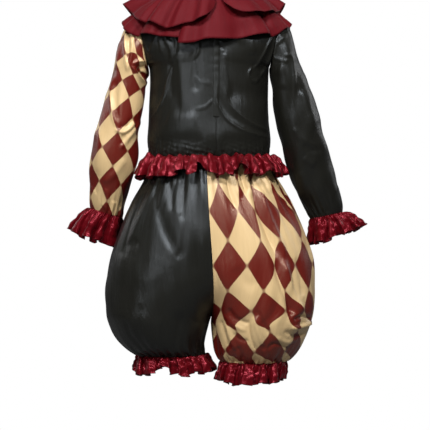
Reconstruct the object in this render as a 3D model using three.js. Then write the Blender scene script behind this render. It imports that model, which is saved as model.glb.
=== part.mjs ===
// A clown's costume for a wearer about 1.45 m tall, hollow as it is worn and set out as seen from behind the wearer:
// a satin top that closes at the centre back, a neck band with a two-tier collar, one harlequin and one plain sleeve,
// and ballooned bloomers with one plain and one harlequin leg. A gathered ruffle hangs from each hem.
// Millimetres. +X is the viewer's right, -Y points at the viewer behind the wearer, and +Z is up.
// The origin is the middle of the neck opening, level with the neck ends of the shoulder seams.
import * as THREE from "three";

const { clamp, lerp, degToRad } = THREE.MathUtils;

// Driving dimensions
const SATIN_WALL = 1.8;
const RUFFLE_WALL = 1.2;
const COLLAR_WALL = 1.4;
const BAND_WALL = 2.0;
const SEAM_GAP = 0.3;
const NECK_BAND_GAP = 0.8;
const SLEEVE_SEAM_GAP = 0.5;
const RUFFLE_SEAM_GAP = 0.6;
const SIDE_SLIT = 0.0003;
const SLEEVE_COLUMNS = 20;
const CLOSURE = { x: 17, wide: 14, thick: 1.2, clear: 0.5, rowFrom: 3 };

// The armhole is an oval between the underarm and the shoulder point.
const ARMHOLE = { lowX: 139, lowZ: -168, topX: 167, topZ: -40, halfDepth: 56, rows: 4 };

// The top's level sections from the hem to the underarm.
const TOP_SECTIONS = [
  { z: -370, half: 138, back: 99, front: 101 },
  { z: -352, half: 142, back: 107, front: 108 },
  { z: -325, half: 144.5, back: 112, front: 113 },
  { z: -280, half: 140, back: 108, front: 110 },
  { z: -225, half: 137.5, back: 103, front: 107 },
  { z: ARMHOLE.lowZ, half: ARMHOLE.lowX, back: 101, front: 106 },
];

// Over the shoulders each section leans: its ends lie on the shoulder seam, above its middle.
const YOKE_SECTIONS = [
  { backZ: -72, frontZ: -80, edgeX: ARMHOLE.topX, edgeZ: ARMHOLE.topZ, back: 98, front: 100 },
  { backZ: -42, frontZ: -58, edgeX: 128, edgeZ: -22, back: 86, front: 92 },
  { backZ: -18, frontZ: -42, edgeX: 90, edgeZ: -7, back: 70, front: 80 },
  { backZ: -2, frontZ: -30, edgeX: 60, edgeZ: 6, back: 60, front: 70 },
];

// The top's main folds: ridges, or troughs where high is below zero, from one point to another on its back or front.
const TOP_FOLDS = [
  { side: -1, fromX: 30, fromZ: -170, toX: 56, toZ: -256, wide: 17, high: 7 },
  { side: -1, fromX: 56, fromZ: -256, toX: 142, toZ: -312, wide: 17, high: 8 },
  { side: -1, fromX: -56, fromZ: -175, toX: -64, toZ: -290, wide: 26, high: 7 },
  { side: -1, fromX: 140, fromZ: -110, toX: 104, toZ: -188, wide: 15, high: 6 },
  { side: -1, fromX: -98, fromZ: -120, toX: -132, toZ: -272, wide: 18, high: 6 },
  { side: 1, fromX: -70, fromZ: -130, toX: -40, toZ: -300, wide: 24, high: 6 },
  { side: 1, fromX: 62, fromZ: -140, toX: 90, toZ: -310, wide: 26, high: 7 },
  { side: 1, fromX: 10, fromZ: -200, toX: 20, toZ: -320, wide: 22, high: 6 },
];

// The sleeves' outlines as seen from behind: the outer and inner edge of each section, half its depth and how far
// forward it lies. The armhole itself is the first section.
const LEFT_SLEEVE = [
  { outX: -201, outZ: -76, inX: -142, inZ: -176, deep: 57, forward: 0 },
  { outX: -215, outZ: -126, inX: -149, inZ: -191, deep: 53, forward: 0 },
  { outX: -234, outZ: -206, inX: -150, inZ: -234, deep: 47, forward: 2 },
  { outX: -257, outZ: -281, inX: -165, inZ: -307, deep: 48, forward: 6 },
  { outX: -277, outZ: -356, inX: -168, inZ: -374, deep: 51, forward: 18 },
  { outX: -281, outZ: -421, inX: -188, inZ: -438, deep: 46, forward: 34 },
  { outX: -284, outZ: -466, inX: -201, inZ: -482, deep: 41, forward: 48 },
  { outX: -283, outZ: -486, inX: -208, inZ: -509, deep: 37, forward: 56 },
];
const RIGHT_SLEEVE = [
  { outX: 192, outZ: -76, inX: 142, inZ: -178, deep: 57, forward: 0 },
  { outX: 207, outZ: -133, inX: 147, inZ: -206, deep: 54, forward: 0 },
  { outX: 231, outZ: -199, inX: 149, inZ: -246, deep: 51, forward: 2 },
  { outX: 258, outZ: -278, inX: 163, inZ: -309, deep: 51, forward: 6 },
  { outX: 281, outZ: -353, inX: 180, inZ: -377, deep: 52, forward: 18 },
  { outX: 302, outZ: -423, inX: 201, inZ: -440, deep: 49, forward: 34 },
  { outX: 316, outZ: -473, inX: 224, inZ: -482, deep: 43, forward: 46 },
  { outX: 317, outZ: -496, inX: 242, inZ: -511, deep: 37, forward: 52 },
];

// The bloomers' sections from the waist to the knees. end is how far round from the side seam a panel reaches, in
// degrees: 90 or more to the centre seam, and 180 to the inseam. part is half the space between the two legs.
const BLOOMERS = [
  { leftZ: -350, rightZ: -350, left: -130, right: 128, seam: -5, part: 0, end: 90, back: 92, front: 94 },
  { leftZ: -372, rightZ: -372, left: -132, right: 130, seam: -5, part: 0, end: 90, back: 93, front: 95 },
  { leftZ: -400, rightZ: -400, left: -141, right: 146, seam: -4, part: 0, end: 90, back: 103, front: 105 },
  { leftZ: -440, rightZ: -440, left: -160, right: 173, seam: -3, part: 0, end: 90, back: 115, front: 116 },
  { leftZ: -490, rightZ: -490, left: -188, right: 199, seam: 0, part: 0, end: 92, back: 127, front: 127 },
  { leftZ: -545, rightZ: -545, left: -210, right: 223, seam: 4, part: 0, end: 97, back: 135, front: 134 },
  { leftZ: -605, rightZ: -605, left: -230, right: 240, seam: 8, part: 0, end: 108, back: 139, front: 137 },
  { leftZ: -665, rightZ: -665, left: -239, right: 246, seam: 11, part: 0, end: 125, back: 140, front: 137 },
  { leftZ: -715, rightZ: -715, left: -240, right: 245, seam: 10, part: 0, end: 150, back: 136, front: 133 },
  { leftZ: -750, rightZ: -752, left: -236, right: 238, seam: 3, part: 2.5, end: 180, back: 130, front: 127 },
  { leftZ: -786, rightZ: -792, left: -219, right: 222, seam: 0, part: 9, end: 180, back: 116, front: 114 },
  { leftZ: -812, rightZ: -823, left: -193, right: 202, seam: 1, part: 14, end: 180, back: 98, front: 97 },
  { leftZ: -828, rightZ: -843, left: -163, right: 180, seam: 9, part: 21, end: 180, back: 76, front: 76 },
];
const CROTCH_ROW = 9;
const KNEE_ROW = BLOOMERS.length - 1;

// The bloomers' long folds, on the back or front of one leg, and the soft gathers above each knee.
const BLOOMER_FOLDS = [
  { leg: 1, side: -1, fromX: 92, fromZ: -425, toX: 128, toZ: -570, wide: 20, high: -9 },
  { leg: 1, side: -1, fromX: 128, fromZ: -570, toX: 196, toZ: -735, wide: 19, high: -11 },
  { leg: 1, side: -1, fromX: 52, fromZ: -420, toX: 66, toZ: -520, wide: 15, high: 5 },
  { leg: -1, side: -1, fromX: -100, fromZ: -430, toX: -180, toZ: -590, wide: 20, high: 7 },
  { leg: -1, side: -1, fromX: -58, fromZ: -430, toX: -80, toZ: -600, wide: 26, high: 6 },
  { leg: -1, side: 1, fromX: -90, fromZ: -430, toX: -130, toZ: -640, wide: 24, high: 7 },
  { leg: 1, side: 1, fromX: 84, fromZ: -430, toX: 120, toZ: -640, wide: 24, high: 7 },
];
const KNEE_GATHERS = { perPanel: 4, high: 4.5, row: 10.8, spread: 0.8 };

// Ruffles: the ovals that they hang through below the hem they are sewn to, their waves, and how far the waves reach
// in and out at the sewn edge and at the free one.
const WAIST_RUFFLE = {
  waves: 28,
  sewnReach: 1.4,
  freeReach: 9,
  lift: 3,
  seed: 0.4,
  raised: { turn: 0.23, spread: 0.02, by: 12 },
  ovals: [
    { outX: -148, outZ: -374, inX: 152, inZ: -373, deep: 112, forward: 1 },
    { outX: -160, outZ: -391, inX: 167, inZ: -389, deep: 126, forward: 1 },
    { outX: -165, outZ: -415, inX: 173, inZ: -412, deep: 134, forward: 1 },
  ],
};
const LEFT_CUFF_RUFFLE = {
  waves: 10,
  sewnReach: 1.2,
  freeReach: 8,
  lift: 4,
  seed: 1.3,
  raised: { turn: 0.3, spread: 0.05, by: 0 },
  ovals: [
    { outX: -303, outZ: -503, inX: -210, inZ: -534, deep: 49, forward: 63 },
    { outX: -319, outZ: -522, inX: -214, inZ: -558, deep: 57, forward: 70 },
    { outX: -329, outZ: -541, inX: -216, inZ: -582, deep: 61, forward: 77 },
  ],
};
const RIGHT_CUFF_RUFFLE = {
  waves: 11,
  sewnReach: 1.2,
  freeReach: 8,
  lift: 4,
  seed: 2.1,
  raised: { turn: 0.3, spread: 0.05, by: 0 },
  ovals: [
    { outX: 338, outZ: -507, inX: 242, inZ: -532, deep: 49, forward: 56 },
    { outX: 354, outZ: -519, inX: 242, inZ: -553, deep: 57, forward: 60 },
    { outX: 364, outZ: -532, inX: 243, inZ: -574, deep: 62, forward: 64 },
  ],
};
const LEFT_KNEE_RUFFLE = {
  waves: 14,
  sewnReach: 1.3,
  freeReach: 8,
  lift: 4,
  seed: 0.9,
  raised: { turn: 0.21, spread: 0.04, by: 22 },
  ovals: [
    { outX: -166, outZ: -838, inX: -6, inZ: -834, deep: 82, forward: 0 },
    { outX: -169, outZ: -853, inX: 2, inZ: -849, deep: 88, forward: 0 },
    { outX: -169, outZ: -870, inX: 5, inZ: -866, deep: 90, forward: 0 },
  ],
};
const RIGHT_KNEE_RUFFLE = {
  waves: 14,
  sewnReach: 1.3,
  freeReach: 8,
  lift: 4,
  seed: 3.2,
  raised: { turn: 0.2, spread: 0.04, by: 0 },
  ovals: [
    { outX: 179, outZ: -853, inX: 26, inZ: -853, deep: 82, forward: 0 },
    { outX: 177, outZ: -869, inX: 23, inZ: -869, deep: 87, forward: 0 },
    { outX: 173, outZ: -888, inX: 20, inZ: -888, deep: 88, forward: 0 },
  ],
};

// The collar's tiers from the neck band to the free edge. A section's half width, its depths behind and in front, and
// its heights at the sides, the back and the front. The last section lies beyond the hem, and only a longer end
// reaches towards it.
const UPPER_TIER = {
  middleX: -12,
  opensAt: 16,
  gapDegrees: 1.2,
  overlap: 0,
  longer: 0,
  tilt: 16,
  fall: 1.1,
  waves: 8,
  reach: 6,
  lift: 5,
  seed: 0.6,
  corner: 0.62,
  cornerDegrees: 25,
  sections: [
    { half: 57.5, back: 58.5, front: 67.5, sideZ: 50, backZ: 50, frontZ: 24 },
    { half: 90, back: 84, front: 96, sideZ: 35, backZ: 27, frontZ: 7 },
    { half: 122, back: 105, front: 118, sideZ: 17, backZ: -5, frontZ: -18 },
    { half: 153, back: 120, front: 134, sideZ: 0, backZ: -38, frontZ: -45 },
    { half: 182, back: 129, front: 144, sideZ: -18, backZ: -73, frontZ: -76 },
    { half: 209, back: 136, front: 152, sideZ: -37, backZ: -109, frontZ: -108 },
  ],
};
const LOWER_TIER = {
  middleX: -8,
  opensAt: -15,
  gapDegrees: -2.5,
  overlap: 3,
  longer: 0.12,
  tilt: 0,
  fall: 2.4,
  waves: 10,
  reach: 5,
  lift: 3,
  seed: 2.2,
  corner: 0.05,
  cornerDegrees: 8,
  sections: [
    { half: 58.2, back: 59, front: 67.9, sideZ: 41, backZ: 41, frontZ: 16 },
    { half: 96, back: 80, front: 91, sideZ: 17, backZ: 12, frontZ: -10 },
    { half: 136, back: 97, front: 108, sideZ: -9, backZ: -26, frontZ: -43 },
    { half: 172, back: 109, front: 120, sideZ: -31, backZ: -61, frontZ: -76 },
    { half: 199, back: 117, front: 128, sideZ: -51, backZ: -98, frontZ: -107 },
    { half: 223, back: 124, front: 135, sideZ: -70, backZ: -135, frontZ: -138 },
  ],
};
const NECK_BAND_TOP = { half: 56, back: 57, front: 66, sideZ: 56, backZ: 56, frontZ: 30, middleX: 0 };

const SATIN_BLACK = new THREE.MeshStandardMaterial({ color: 0x17171a, roughness: 0.38, metalness: 0 });
const SATIN_HARLEQUIN = new THREE.MeshStandardMaterial({ color: 0xa5694a, roughness: 0.4, metalness: 0 });
const SATIN_BURGUNDY = new THREE.MeshStandardMaterial({ color: 0x7a1522, roughness: 0.4, metalness: 0 });
const CREPE_BURGUNDY = new THREE.MeshStandardMaterial({ color: 0x7d1c28, roughness: 0.75, metalness: 0 });

const VIEWERS_RIGHT = new THREE.Vector3(1, 0, 0);
const VIEWERS_LEFT = new THREE.Vector3(-1, 0, 0);
const FORWARD = new THREE.Vector3(0, 1, 0);
const BACKWARD = new THREE.Vector3(0, -1, 0);
const UP = new THREE.Vector3(0, 0, 1);
const DOWN = new THREE.Vector3(0, 0, -1);

// Evenly spaced values from one number to another.
function steps(from, to, count) {
  return Array.from({ length: count + 1 }, (_, i) => lerp(from, to, i / count));
}

// A smooth value t of the way from b to c, with a before them and d after.
function between(a, b, c, d, t) {
  return b + 0.5 * t * (c - a + t * (2 * a - 5 * b + 4 * c - d + t * (3 * (b - c) + d - a)));
}

// Where t falls among a list's items: the four items around it and the share between the middle two.
function around(list, t) {
  const last = list.length - 1;
  const i = clamp(Math.floor(t), 0, last - 1);
  return { near: [i - 1, i, i + 1, i + 2].map((k) => list[clamp(k, 0, last)]), share: t - i };
}

// The row at place t of a table, counted in rows, with each column a smooth curve.
function rowAt(table, t) {
  const { near, share } = around(table, t);
  const row = {};
  for (const column of Object.keys(table[0])) row[column] = between(...near.map((r) => r[column]), share);
  return row;
}

// A soft ridge's height at a point of a panel seen square on: full along its line and fading past its ends.
function foldHeight(fold, x, z) {
  const line = new THREE.Vector2(fold.toX - fold.fromX, fold.toZ - fold.fromZ);
  const from = new THREE.Vector2(x - fold.fromX, z - fold.fromZ);
  const share = clamp(from.dot(line) / line.lengthSq(), 0, 1);
  const away = from.sub(line.multiplyScalar(share)).length() / fold.wide;
  return fold.high * Math.exp(-away * away);
}

// The unit normal of a surface at a point of it, on the side that facing picks: 1 or -1.
function normalAt(place, u, v, facing) {
  const step = 1e-3;
  const alongU = place(u + step, v).sub(place(u - step, v));
  const alongV = place(u, v + step).sub(place(u, v - step));
  return alongU.cross(alongV).normalize().multiplyScalar(facing);
}

// A closed wall over a grid of points on its outer face, which facing turns outwards. A seam names the directions in
// which the next panels lie beyond an edge of the wall, and the wall's edge doesn't lean that way.
function wall(place, us, vs, thick, { facing = 1, tube = false, seams = {} } = {}) {
  const free = () => [];
  const guards = { start: free, end: free, first: [], last: [], ...seams };
  const outer = [];
  const inner = [];
  const columns = tube ? us.slice(0, -1) : us;
  vs.forEach((v, j) => {
    columns.forEach((u, i) => {
      const point = place(u, v);
      const normal = normalAt(place, u, v, facing);
      const beside = [...(i === 0 ? guards.start(v) : []), ...(i === columns.length - 1 ? guards.end(v) : [])];
      const beyond = [...(j === 0 ? guards.first : []), ...(j === vs.length - 1 ? guards.last : [])];
      for (const next of [...beside, ...beyond]) {
        const lean = normal.dot(next);
        if (lean < 0) normal.addScaledVector(next, -lean).normalize();
      }
      outer.push(point);
      inner.push(point.clone().addScaledVector(normal, -thick));
    });
  });
  const wide = columns.length;
  const high = vs.length;
  const count = wide * high;
  const faces = [];
  const quad = (a, b, c, d) => faces.push(a, b, c, a, c, d);
  const at = (i, j) => j * wide + (i % wide);
  const spans = tube ? wide : wide - 1;
  for (let i = 0; i < spans; i++) {
    for (let j = 0; j < high - 1; j++) {
      const [a, b, c, d] = [at(i, j), at(i + 1, j), at(i + 1, j + 1), at(i, j + 1)];
      quad(a, b, c, d);
      quad(count + a, count + d, count + c, count + b);
    }
    quad(at(i + 1, 0), at(i, 0), count + at(i, 0), count + at(i + 1, 0));
    quad(at(i, high - 1), at(i + 1, high - 1), count + at(i + 1, high - 1), count + at(i, high - 1));
  }
  if (!tube) {
    for (let j = 0; j < high - 1; j++) {
      quad(at(0, j), at(0, j + 1), count + at(0, j + 1), count + at(0, j));
      quad(at(wide - 1, j + 1), at(wide - 1, j), count + at(wide - 1, j), count + at(wide - 1, j + 1));
    }
  }
  return closedSurface([...outer, ...inner], faces);
}

// Points and triangles as a geometry whose faces point out.
function closedSurface(points, faces) {
  let volume = 0;
  for (let i = 0; i < faces.length; i += 3) {
    const [a, b, c] = [points[faces[i]], points[faces[i + 1]], points[faces[i + 2]]];
    volume += a.dot(b.clone().cross(c));
  }
  return new THREE.BufferGeometry().setFromPoints(points).setIndex(volume < 0 ? faces.reverse() : faces);
}

// The top's sections as one table from the hem to the neck.
function topTable() {
  const low = TOP_SECTIONS.map(({ z, half, back, front }) => {
    return { backZ: z, frontZ: z, edgeX: half, edgeY: 0, edgeZ: z, back, front };
  });
  const underarm = low[low.length - 1];
  const shoulder = { edgeY: 0, ...YOKE_SECTIONS[0] };
  const beside = steps(0, 1, ARMHOLE.rows).slice(1, -1).map((share) => {
    const up = (1 - Math.cos(Math.PI * share)) / 2;
    return {
      backZ: lerp(underarm.backZ, shoulder.backZ, share),
      frontZ: lerp(underarm.frontZ, shoulder.frontZ, share),
      edgeX: lerp(ARMHOLE.lowX, ARMHOLE.topX, up),
      edgeY: ARMHOLE.halfDepth * Math.sin(Math.PI * share),
      edgeZ: lerp(ARMHOLE.lowZ, ARMHOLE.topZ, up),
      back: lerp(underarm.back, shoulder.back, share),
      front: lerp(underarm.front, shoulder.front, share),
    };
  });
  return [...low, ...beside, ...YOKE_SECTIONS.map((section) => ({ edgeY: 0, ...section }))];
}
const TOP = topTable();
const UNDERARM_ROW = TOP_SECTIONS.length - 1;
const SHOULDER_ROW = UNDERARM_ROW + ARMHOLE.rows;
const NECK_ROW = TOP.length - 1;

// One level of the top's back (side -1) or front (side 1): an arc that ends at the side seam, armhole or shoulder seam.
function topArc(side, level) {
  const row = rowAt(TOP, level);
  const depth = side < 0 ? row.back : row.front;
  const edgeY = Math.max(0, row.edgeY);
  const reach = Math.acos(Math.min(1, edgeY / depth));
  return { row, depth, reach, radius: row.edgeX / Math.sin(reach) };
}

// A point on the top, across from -1 at the left edge to 1 at the right.
function topPoint(side, across, level) {
  const { row, depth, reach, radius } = topArc(side, level);
  const x = radius * Math.sin(across * reach);
  const middleZ = side < 0 ? row.backZ : row.frontZ;
  const z = lerp(middleZ, row.edgeZ, across * across);
  const folds = TOP_FOLDS.filter((fold) => fold.side === side).reduce((sum, fold) => sum + foldHeight(fold, x, z), 0);
  const settled = folds * clamp(level, 0, 1) * clamp(SHOULDER_ROW - level, 0, 1) * Math.cos(across * reach);
  return new THREE.Vector3(x, side * (depth * Math.cos(across * reach) + settled + SEAM_GAP / 2), z);
}

// How far across the back a point at distance x from the middle lies, at some level.
function acrossAt(x, level) {
  const { reach, radius } = topArc(-1, level);
  return Math.asin(x / radius) / reach;
}

// A level of the top as a ring, from its left side seam round the back to the right one and home across the front.
function topRing(level, turn) {
  const back = turn < 0.5;
  return topPoint(back ? -1 : 1, back ? lerp(-1, 1, turn * 2) : lerp(1, -1, turn * 2 - 1), level);
}

// The armhole's ring, from the shoulder point round the back to the underarm and up the front.
function armhole(leftOrRight) {
  return (turn) => {
    const side = turn < 0.5 ? -1 : 1;
    const up = Math.abs(1 - 2 * turn);
    const point = topPoint(side, leftOrRight, lerp(UNDERARM_ROW, SHOULDER_ROW, up));
    return point.add(new THREE.Vector3(leftOrRight * SLEEVE_SEAM_GAP, 0, 0));
  };
}

// An oval ring through its outer and inner edge.
function oval({ outX, outZ, inX, inZ, deep, forward }) {
  const middle = new THREE.Vector3((outX + inX) / 2, forward, (outZ + inZ) / 2);
  const out = new THREE.Vector3(outX, forward, outZ).sub(middle);
  return (turn) => {
    const angle = 2 * Math.PI * turn;
    return middle.clone().addScaledVector(out, Math.cos(angle)).addScaledVector(FORWARD, -deep * Math.sin(angle));
  };
}

// The upward direction square to an oval.
function acrossOval({ outX, outZ, inX, inZ }) {
  const up = new THREE.Vector3(inZ - outZ, 0, outX - inX).normalize();
  return up.z < 0 ? up.negate() : up;
}

// A point of the tube that runs smoothly through a list of rings.
function tubePoint(rings, turn, t) {
  const { near, share } = around(rings, t);
  const points = near.map((ring) => ring(turn - Math.floor(turn)));
  const [x, y, z] = ["x", "y", "z"].map((axis) => between(...points.map((p) => p[axis]), share));
  return new THREE.Vector3(x, y, z);
}

// A point on one leg of the bloomers, round from the side seam (0) to the centre seam or inseam (1).
function bloomerPoint(leg, side, round, level) {
  const row = rowAt(BLOOMERS, level);
  const end = degToRad(clamp(row.end, 90, 180));
  const outer = leg < 0 ? row.left : row.right;
  const inner = row.seam + leg * (Math.max(0, row.part) + SEAM_GAP / 2);
  const radius = (inner - outer) / (1 - Math.cos(end));
  const angle = end * round;
  const x = outer + radius * (1 - Math.cos(angle));
  const z = leg < 0 ? row.leftZ : row.rightZ;
  const folds = BLOOMER_FOLDS.filter((fold) => fold.leg === leg && fold.side === side);
  const height = folds.reduce((sum, fold) => sum + foldHeight(fold, x, z), 0);
  const rowsAway = (level - KNEE_GATHERS.row) / KNEE_GATHERS.spread;
  const gathers = KNEE_GATHERS.high * Math.cos(2 * Math.PI * KNEE_GATHERS.perPanel * round);
  const hang = (height + gathers * Math.exp(-rowsAway * rowsAway)) * clamp(KNEE_ROW - level, 0, 1);
  const grown = 1 + hang / Math.abs(radius);
  const depth = side < 0 ? row.back : row.front;
  const y = side * (depth * grown * Math.sin(angle) + SEAM_GAP / 2);
  const atSeams = Math.sin(Math.PI * round);
  return new THREE.Vector3(x - Math.sign(radius) * hang * Math.cos(angle) * atSeams, y, z);
}

// The waves of a gathered edge: uneven in width and height, and the same again after a full turn.
function wave(waves, seed, turn) {
  const angle = 2 * Math.PI * turn;
  const uneven = 0.7 * Math.sin(3 * angle + seed) + 0.45 * Math.sin(5 * angle + 2 * seed);
  return Math.cos(waves * angle + uneven) * (1 + 0.22 * Math.sin(4 * angle + seed));
}

// A point on a ruffle that hangs from a sewn ring through its ovals, down from 0 to 1.
function rufflePoint(ruffle, sewn, turn, down) {
  const rings = [sewn, ...ruffle.ovals.map(oval)];
  const t = down * ruffle.ovals.length;
  const point = tubePoint(rings, turn, t);
  const middle = tubePoint(rings, turn + 0.5, t).add(point).multiplyScalar(0.5);
  const outwards = point.clone().sub(middle).normalize();
  const reach = lerp(ruffle.sewnReach, ruffle.freeReach, down);
  point.addScaledVector(outwards, reach * wave(ruffle.waves, ruffle.seed, turn));
  point.z += ruffle.lift * down * down * wave(ruffle.waves, ruffle.seed + 1, turn);
  const fromRaised = (turn - ruffle.raised.turn) / ruffle.raised.spread;
  point.z += ruffle.raised.by * down * down * Math.exp(-fromRaised * fromRaised);
  return point;
}

// A point on a collar tier, round from its opening (0) to its other end (1), and down from the band to the free edge.
// A tier with rounded corners is short at its ends. One whose ends overlap has the starting end longer and on top.
function tierPoint(tier, round, down) {
  const turn = degToRad(tier.opensAt + lerp(tier.gapDegrees, 360 - tier.gapDegrees, round));
  const fromEnd = Math.min(round, 1 - round) * 360;
  const rounding = 1 - clamp(fromEnd / tier.cornerDegrees, 0, 1);
  const onTop = clamp(1 - 8 * round, 0, 1);
  const length = 1 + tier.longer * onTop - tier.corner * (1 - Math.sqrt(1 - rounding * rounding * 0.98));
  const row = rowAt(tier.sections, down * length * (tier.sections.length - 2));
  const behind = Math.cos(turn) > 0;
  const depth = behind ? row.back : row.front;
  const fromSide = Math.hypot(Math.cos(turn), 0.12) - 0.12;
  const level = lerp(row.sideZ, behind ? row.backZ : row.frontZ, 1 - (1 - fromSide) ** tier.fall);
  const tilted = tier.tilt * down * down * Math.max(0, Math.cos(turn)) * Math.sin(2 * turn);
  const share = turn / (2 * Math.PI);
  const out = tier.reach * down * wave(tier.waves, tier.seed, share) + tier.overlap * onTop;
  const lift = tier.lift * down * wave(tier.waves, tier.seed + 1, share) + (tier.overlap * onTop) / 2;
  const middleX = tier.middleX * down;
  const x = middleX + (row.half + out) * Math.sin(turn);
  return new THREE.Vector3(x, -(depth + out) * Math.cos(turn), level + lift + tilted);
}

// A point on the neck band, round from the centre-back closure and up from the neckline (0) to the collar (1).
function bandPoint(round, up) {
  const turn = (0.25 * (1 + acrossAt(CLOSURE.x, NECK_ROW)) + round) % 1;
  const foot = topRing(NECK_ROW, turn).addScaledVector(UP, NECK_BAND_GAP);
  const lean = Math.atan2(foot.x, -foot.y);
  const behind = Math.cos(lean) > 0;
  const { half, back, front, sideZ, backZ, frontZ } = NECK_BAND_TOP;
  const top = new THREE.Vector3(
    half * Math.sin(lean),
    -(behind ? back : front) * Math.cos(lean),
    lerp(sideZ, behind ? backZ : frontZ, Math.cos(lean) ** 2),
  );
  return foot.lerp(top, up);
}

const costume = new THREE.Group();

function add(name, geometry, material) {
  const mesh = new THREE.Mesh(geometry, material);
  mesh.name = name;
  costume.add(mesh);
}

// Where a top panel's side edge meets the other half of the top, and at the armhole the sleeve as well.
function topEdge(otherHalf, sleeve) {
  return (level) => (level < UNDERARM_ROW || level > SHOULDER_ROW ? [otherHalf] : [otherHalf, sleeve]);
}

// The top: two backs that meet at the closure, one front, and the closure's strip over the back seam.
function addTop() {
  const levels = [
    ...steps(0, UNDERARM_ROW, 7),
    ...steps(UNDERARM_ROW, SHOULDER_ROW, SLEEVE_COLUMNS / 2).slice(1),
    ...steps(SHOULDER_ROW, NECK_ROW, 3).slice(1),
  ];
  const half = CLOSURE.wide / 2;
  const seams = [-half, -SEAM_GAP / 2, SEAM_GAP / 2, half].map((beside) => CLOSURE.x + beside);
  const backs = (stops) => (u, level) => {
    const i = clamp(Math.floor(u), 0, stops.length - 2);
    return topPoint(-1, lerp(stops[i](level), stops[i + 1](level), u - i), level);
  };
  const seamStops = seams.map((x) => (level) => acrossAt(x, level));
  const left = backs([() => -1, seamStops[0], seamStops[1]]);
  const right = backs([seamStops[2], seamStops[3], () => 1]);
  const strip = backs(seamStops);
  add("top_back_left", wall(left, [...steps(0, 1, 8), 2], levels, SATIN_WALL, {
    seams: { start: topEdge(FORWARD, VIEWERS_LEFT), end: () => [VIEWERS_RIGHT] },
  }), SATIN_BLACK);
  add("top_back_right", wall(right, [0, ...steps(1, 2, 7)], levels, SATIN_WALL, {
    seams: { start: () => [VIEWERS_LEFT], end: topEdge(FORWARD, VIEWERS_RIGHT) },
  }), SATIN_BLACK);
  const front = (across, level) => topPoint(1, across, level);
  add("top_front", wall(front, steps(-1, 1, 15), levels, SATIN_WALL, {
    facing: -1,
    seams: { start: topEdge(BACKWARD, VIEWERS_LEFT), end: topEdge(BACKWARD, VIEWERS_RIGHT) },
  }), SATIN_BLACK);
  const over = (u, level) => {
    const out = normalAt(strip, u, level, 1);
    return strip(u, level).addScaledVector(out, CLOSURE.clear + CLOSURE.thick);
  };
  const height = levels.filter((level) => level >= CLOSURE.rowFrom && level < NECK_ROW);
  add("closure_strip", wall(over, [0, 1, 2, 3], height, CLOSURE.thick), SATIN_BLACK);
}

function addSleeve(name, sections, leftOrRight, material, ruffle) {
  const rings = [armhole(leftOrRight), ...sections.map(oval)];
  const place = (turn, t) => tubePoint(rings, turn, t);
  const rows = [0, 0.5, ...steps(1, rings.length - 1, 12)];
  add(`sleeve_${name}`, wall(place, steps(0, 1, SLEEVE_COLUMNS), rows, SATIN_WALL, {
    facing: leftOrRight,
    tube: true,
    seams: { first: [leftOrRight < 0 ? VIEWERS_RIGHT : VIEWERS_LEFT], last: [DOWN] },
  }), material);
  const cuff = sections[sections.length - 1];
  const sewn = (turn) => oval(cuff)(turn).addScaledVector(acrossOval(cuff), -RUFFLE_SEAM_GAP);
  addRuffle(`cuff_ruffle_${name}`, ruffle, sewn, leftOrRight, acrossOval(cuff));
}

// A whole ruffle that hangs from a sewn ring. beyond is the direction of the panel that it is sewn to.
function addRuffle(name, ruffle, sewn, facing, beyond) {
  const hang = (turn, down) => rufflePoint(ruffle, sewn, turn, down);
  add(name, wall(hang, steps(0, 1, ruffle.waves * 5), steps(0, 1, 3), RUFFLE_WALL, {
    facing,
    tube: true,
    seams: { first: [beyond] },
  }), SATIN_BURGUNDY);
}

// The waist ruffle is made in two halves, sewn at the sides.
function addWaistRuffle() {
  const sewn = (turn) => topRing(0, turn).addScaledVector(DOWN, RUFFLE_SEAM_GAP);
  const hang = (turn, down) => rufflePoint(WAIST_RUFFLE, sewn, turn, down);
  const columns = WAIST_RUFFLE.waves * 2.5;
  const halves = [["back", 0, FORWARD], ["front", 0.5, BACKWARD]];
  for (const [part, from, across] of halves) {
    const turns = steps(from + SIDE_SLIT, from + 0.5 - SIDE_SLIT, columns);
    add(`waist_ruffle_${part}`, wall(hang, turns, steps(0, 1, 3), RUFFLE_WALL, {
      facing: -1,
      seams: { start: () => [across], end: () => [across], first: [UP] },
    }), SATIN_BURGUNDY);
  }
}

function addLeg(name, leg, material, ruffle) {
  const rows = steps(0, KNEE_ROW, 14);
  for (const [part, side] of [["back", -1], ["front", 1]]) {
    const place = (round, level) => bloomerPoint(leg, side, round, level);
    const otherHalf = new THREE.Vector3(0, -side, 0);
    const otherLeg = new THREE.Vector3(-leg, 0, 0);
    add(`bloomers_${name}_${part}`, wall(place, steps(0, 1, 14), rows, SATIN_WALL, {
      facing: leg * side,
      seams: {
        start: () => [otherHalf],
        end: (level) => (level < CROTCH_ROW ? [otherLeg] : [otherHalf, otherLeg]),
        last: [DOWN],
      },
    }), material);
  }
  const sewn = (turn) => {
    const round = turn < 0.5 ? turn * 2 : 2 - turn * 2;
    return bloomerPoint(leg, turn < 0.5 ? -1 : 1, round, KNEE_ROW).addScaledVector(DOWN, RUFFLE_SEAM_GAP);
  };
  addRuffle(`knee_ruffle_${name}`, ruffle, sewn, leg, UP);
}

function addCollar() {
  const slit = SEAM_GAP / 400;
  add("neck_band", wall(bandPoint, steps(slit, 1 - slit, 34), [0, 1], BAND_WALL), SATIN_BURGUNDY);
  for (const [name, tier] of [["collar_upper", UPPER_TIER], ["collar_lower", LOWER_TIER]]) {
    const place = (round, down) => tierPoint(tier, round, down);
    add(name, wall(place, steps(0, 1, 54), steps(0, 1, 4), COLLAR_WALL), CREPE_BURGUNDY);
  }
}

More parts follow.
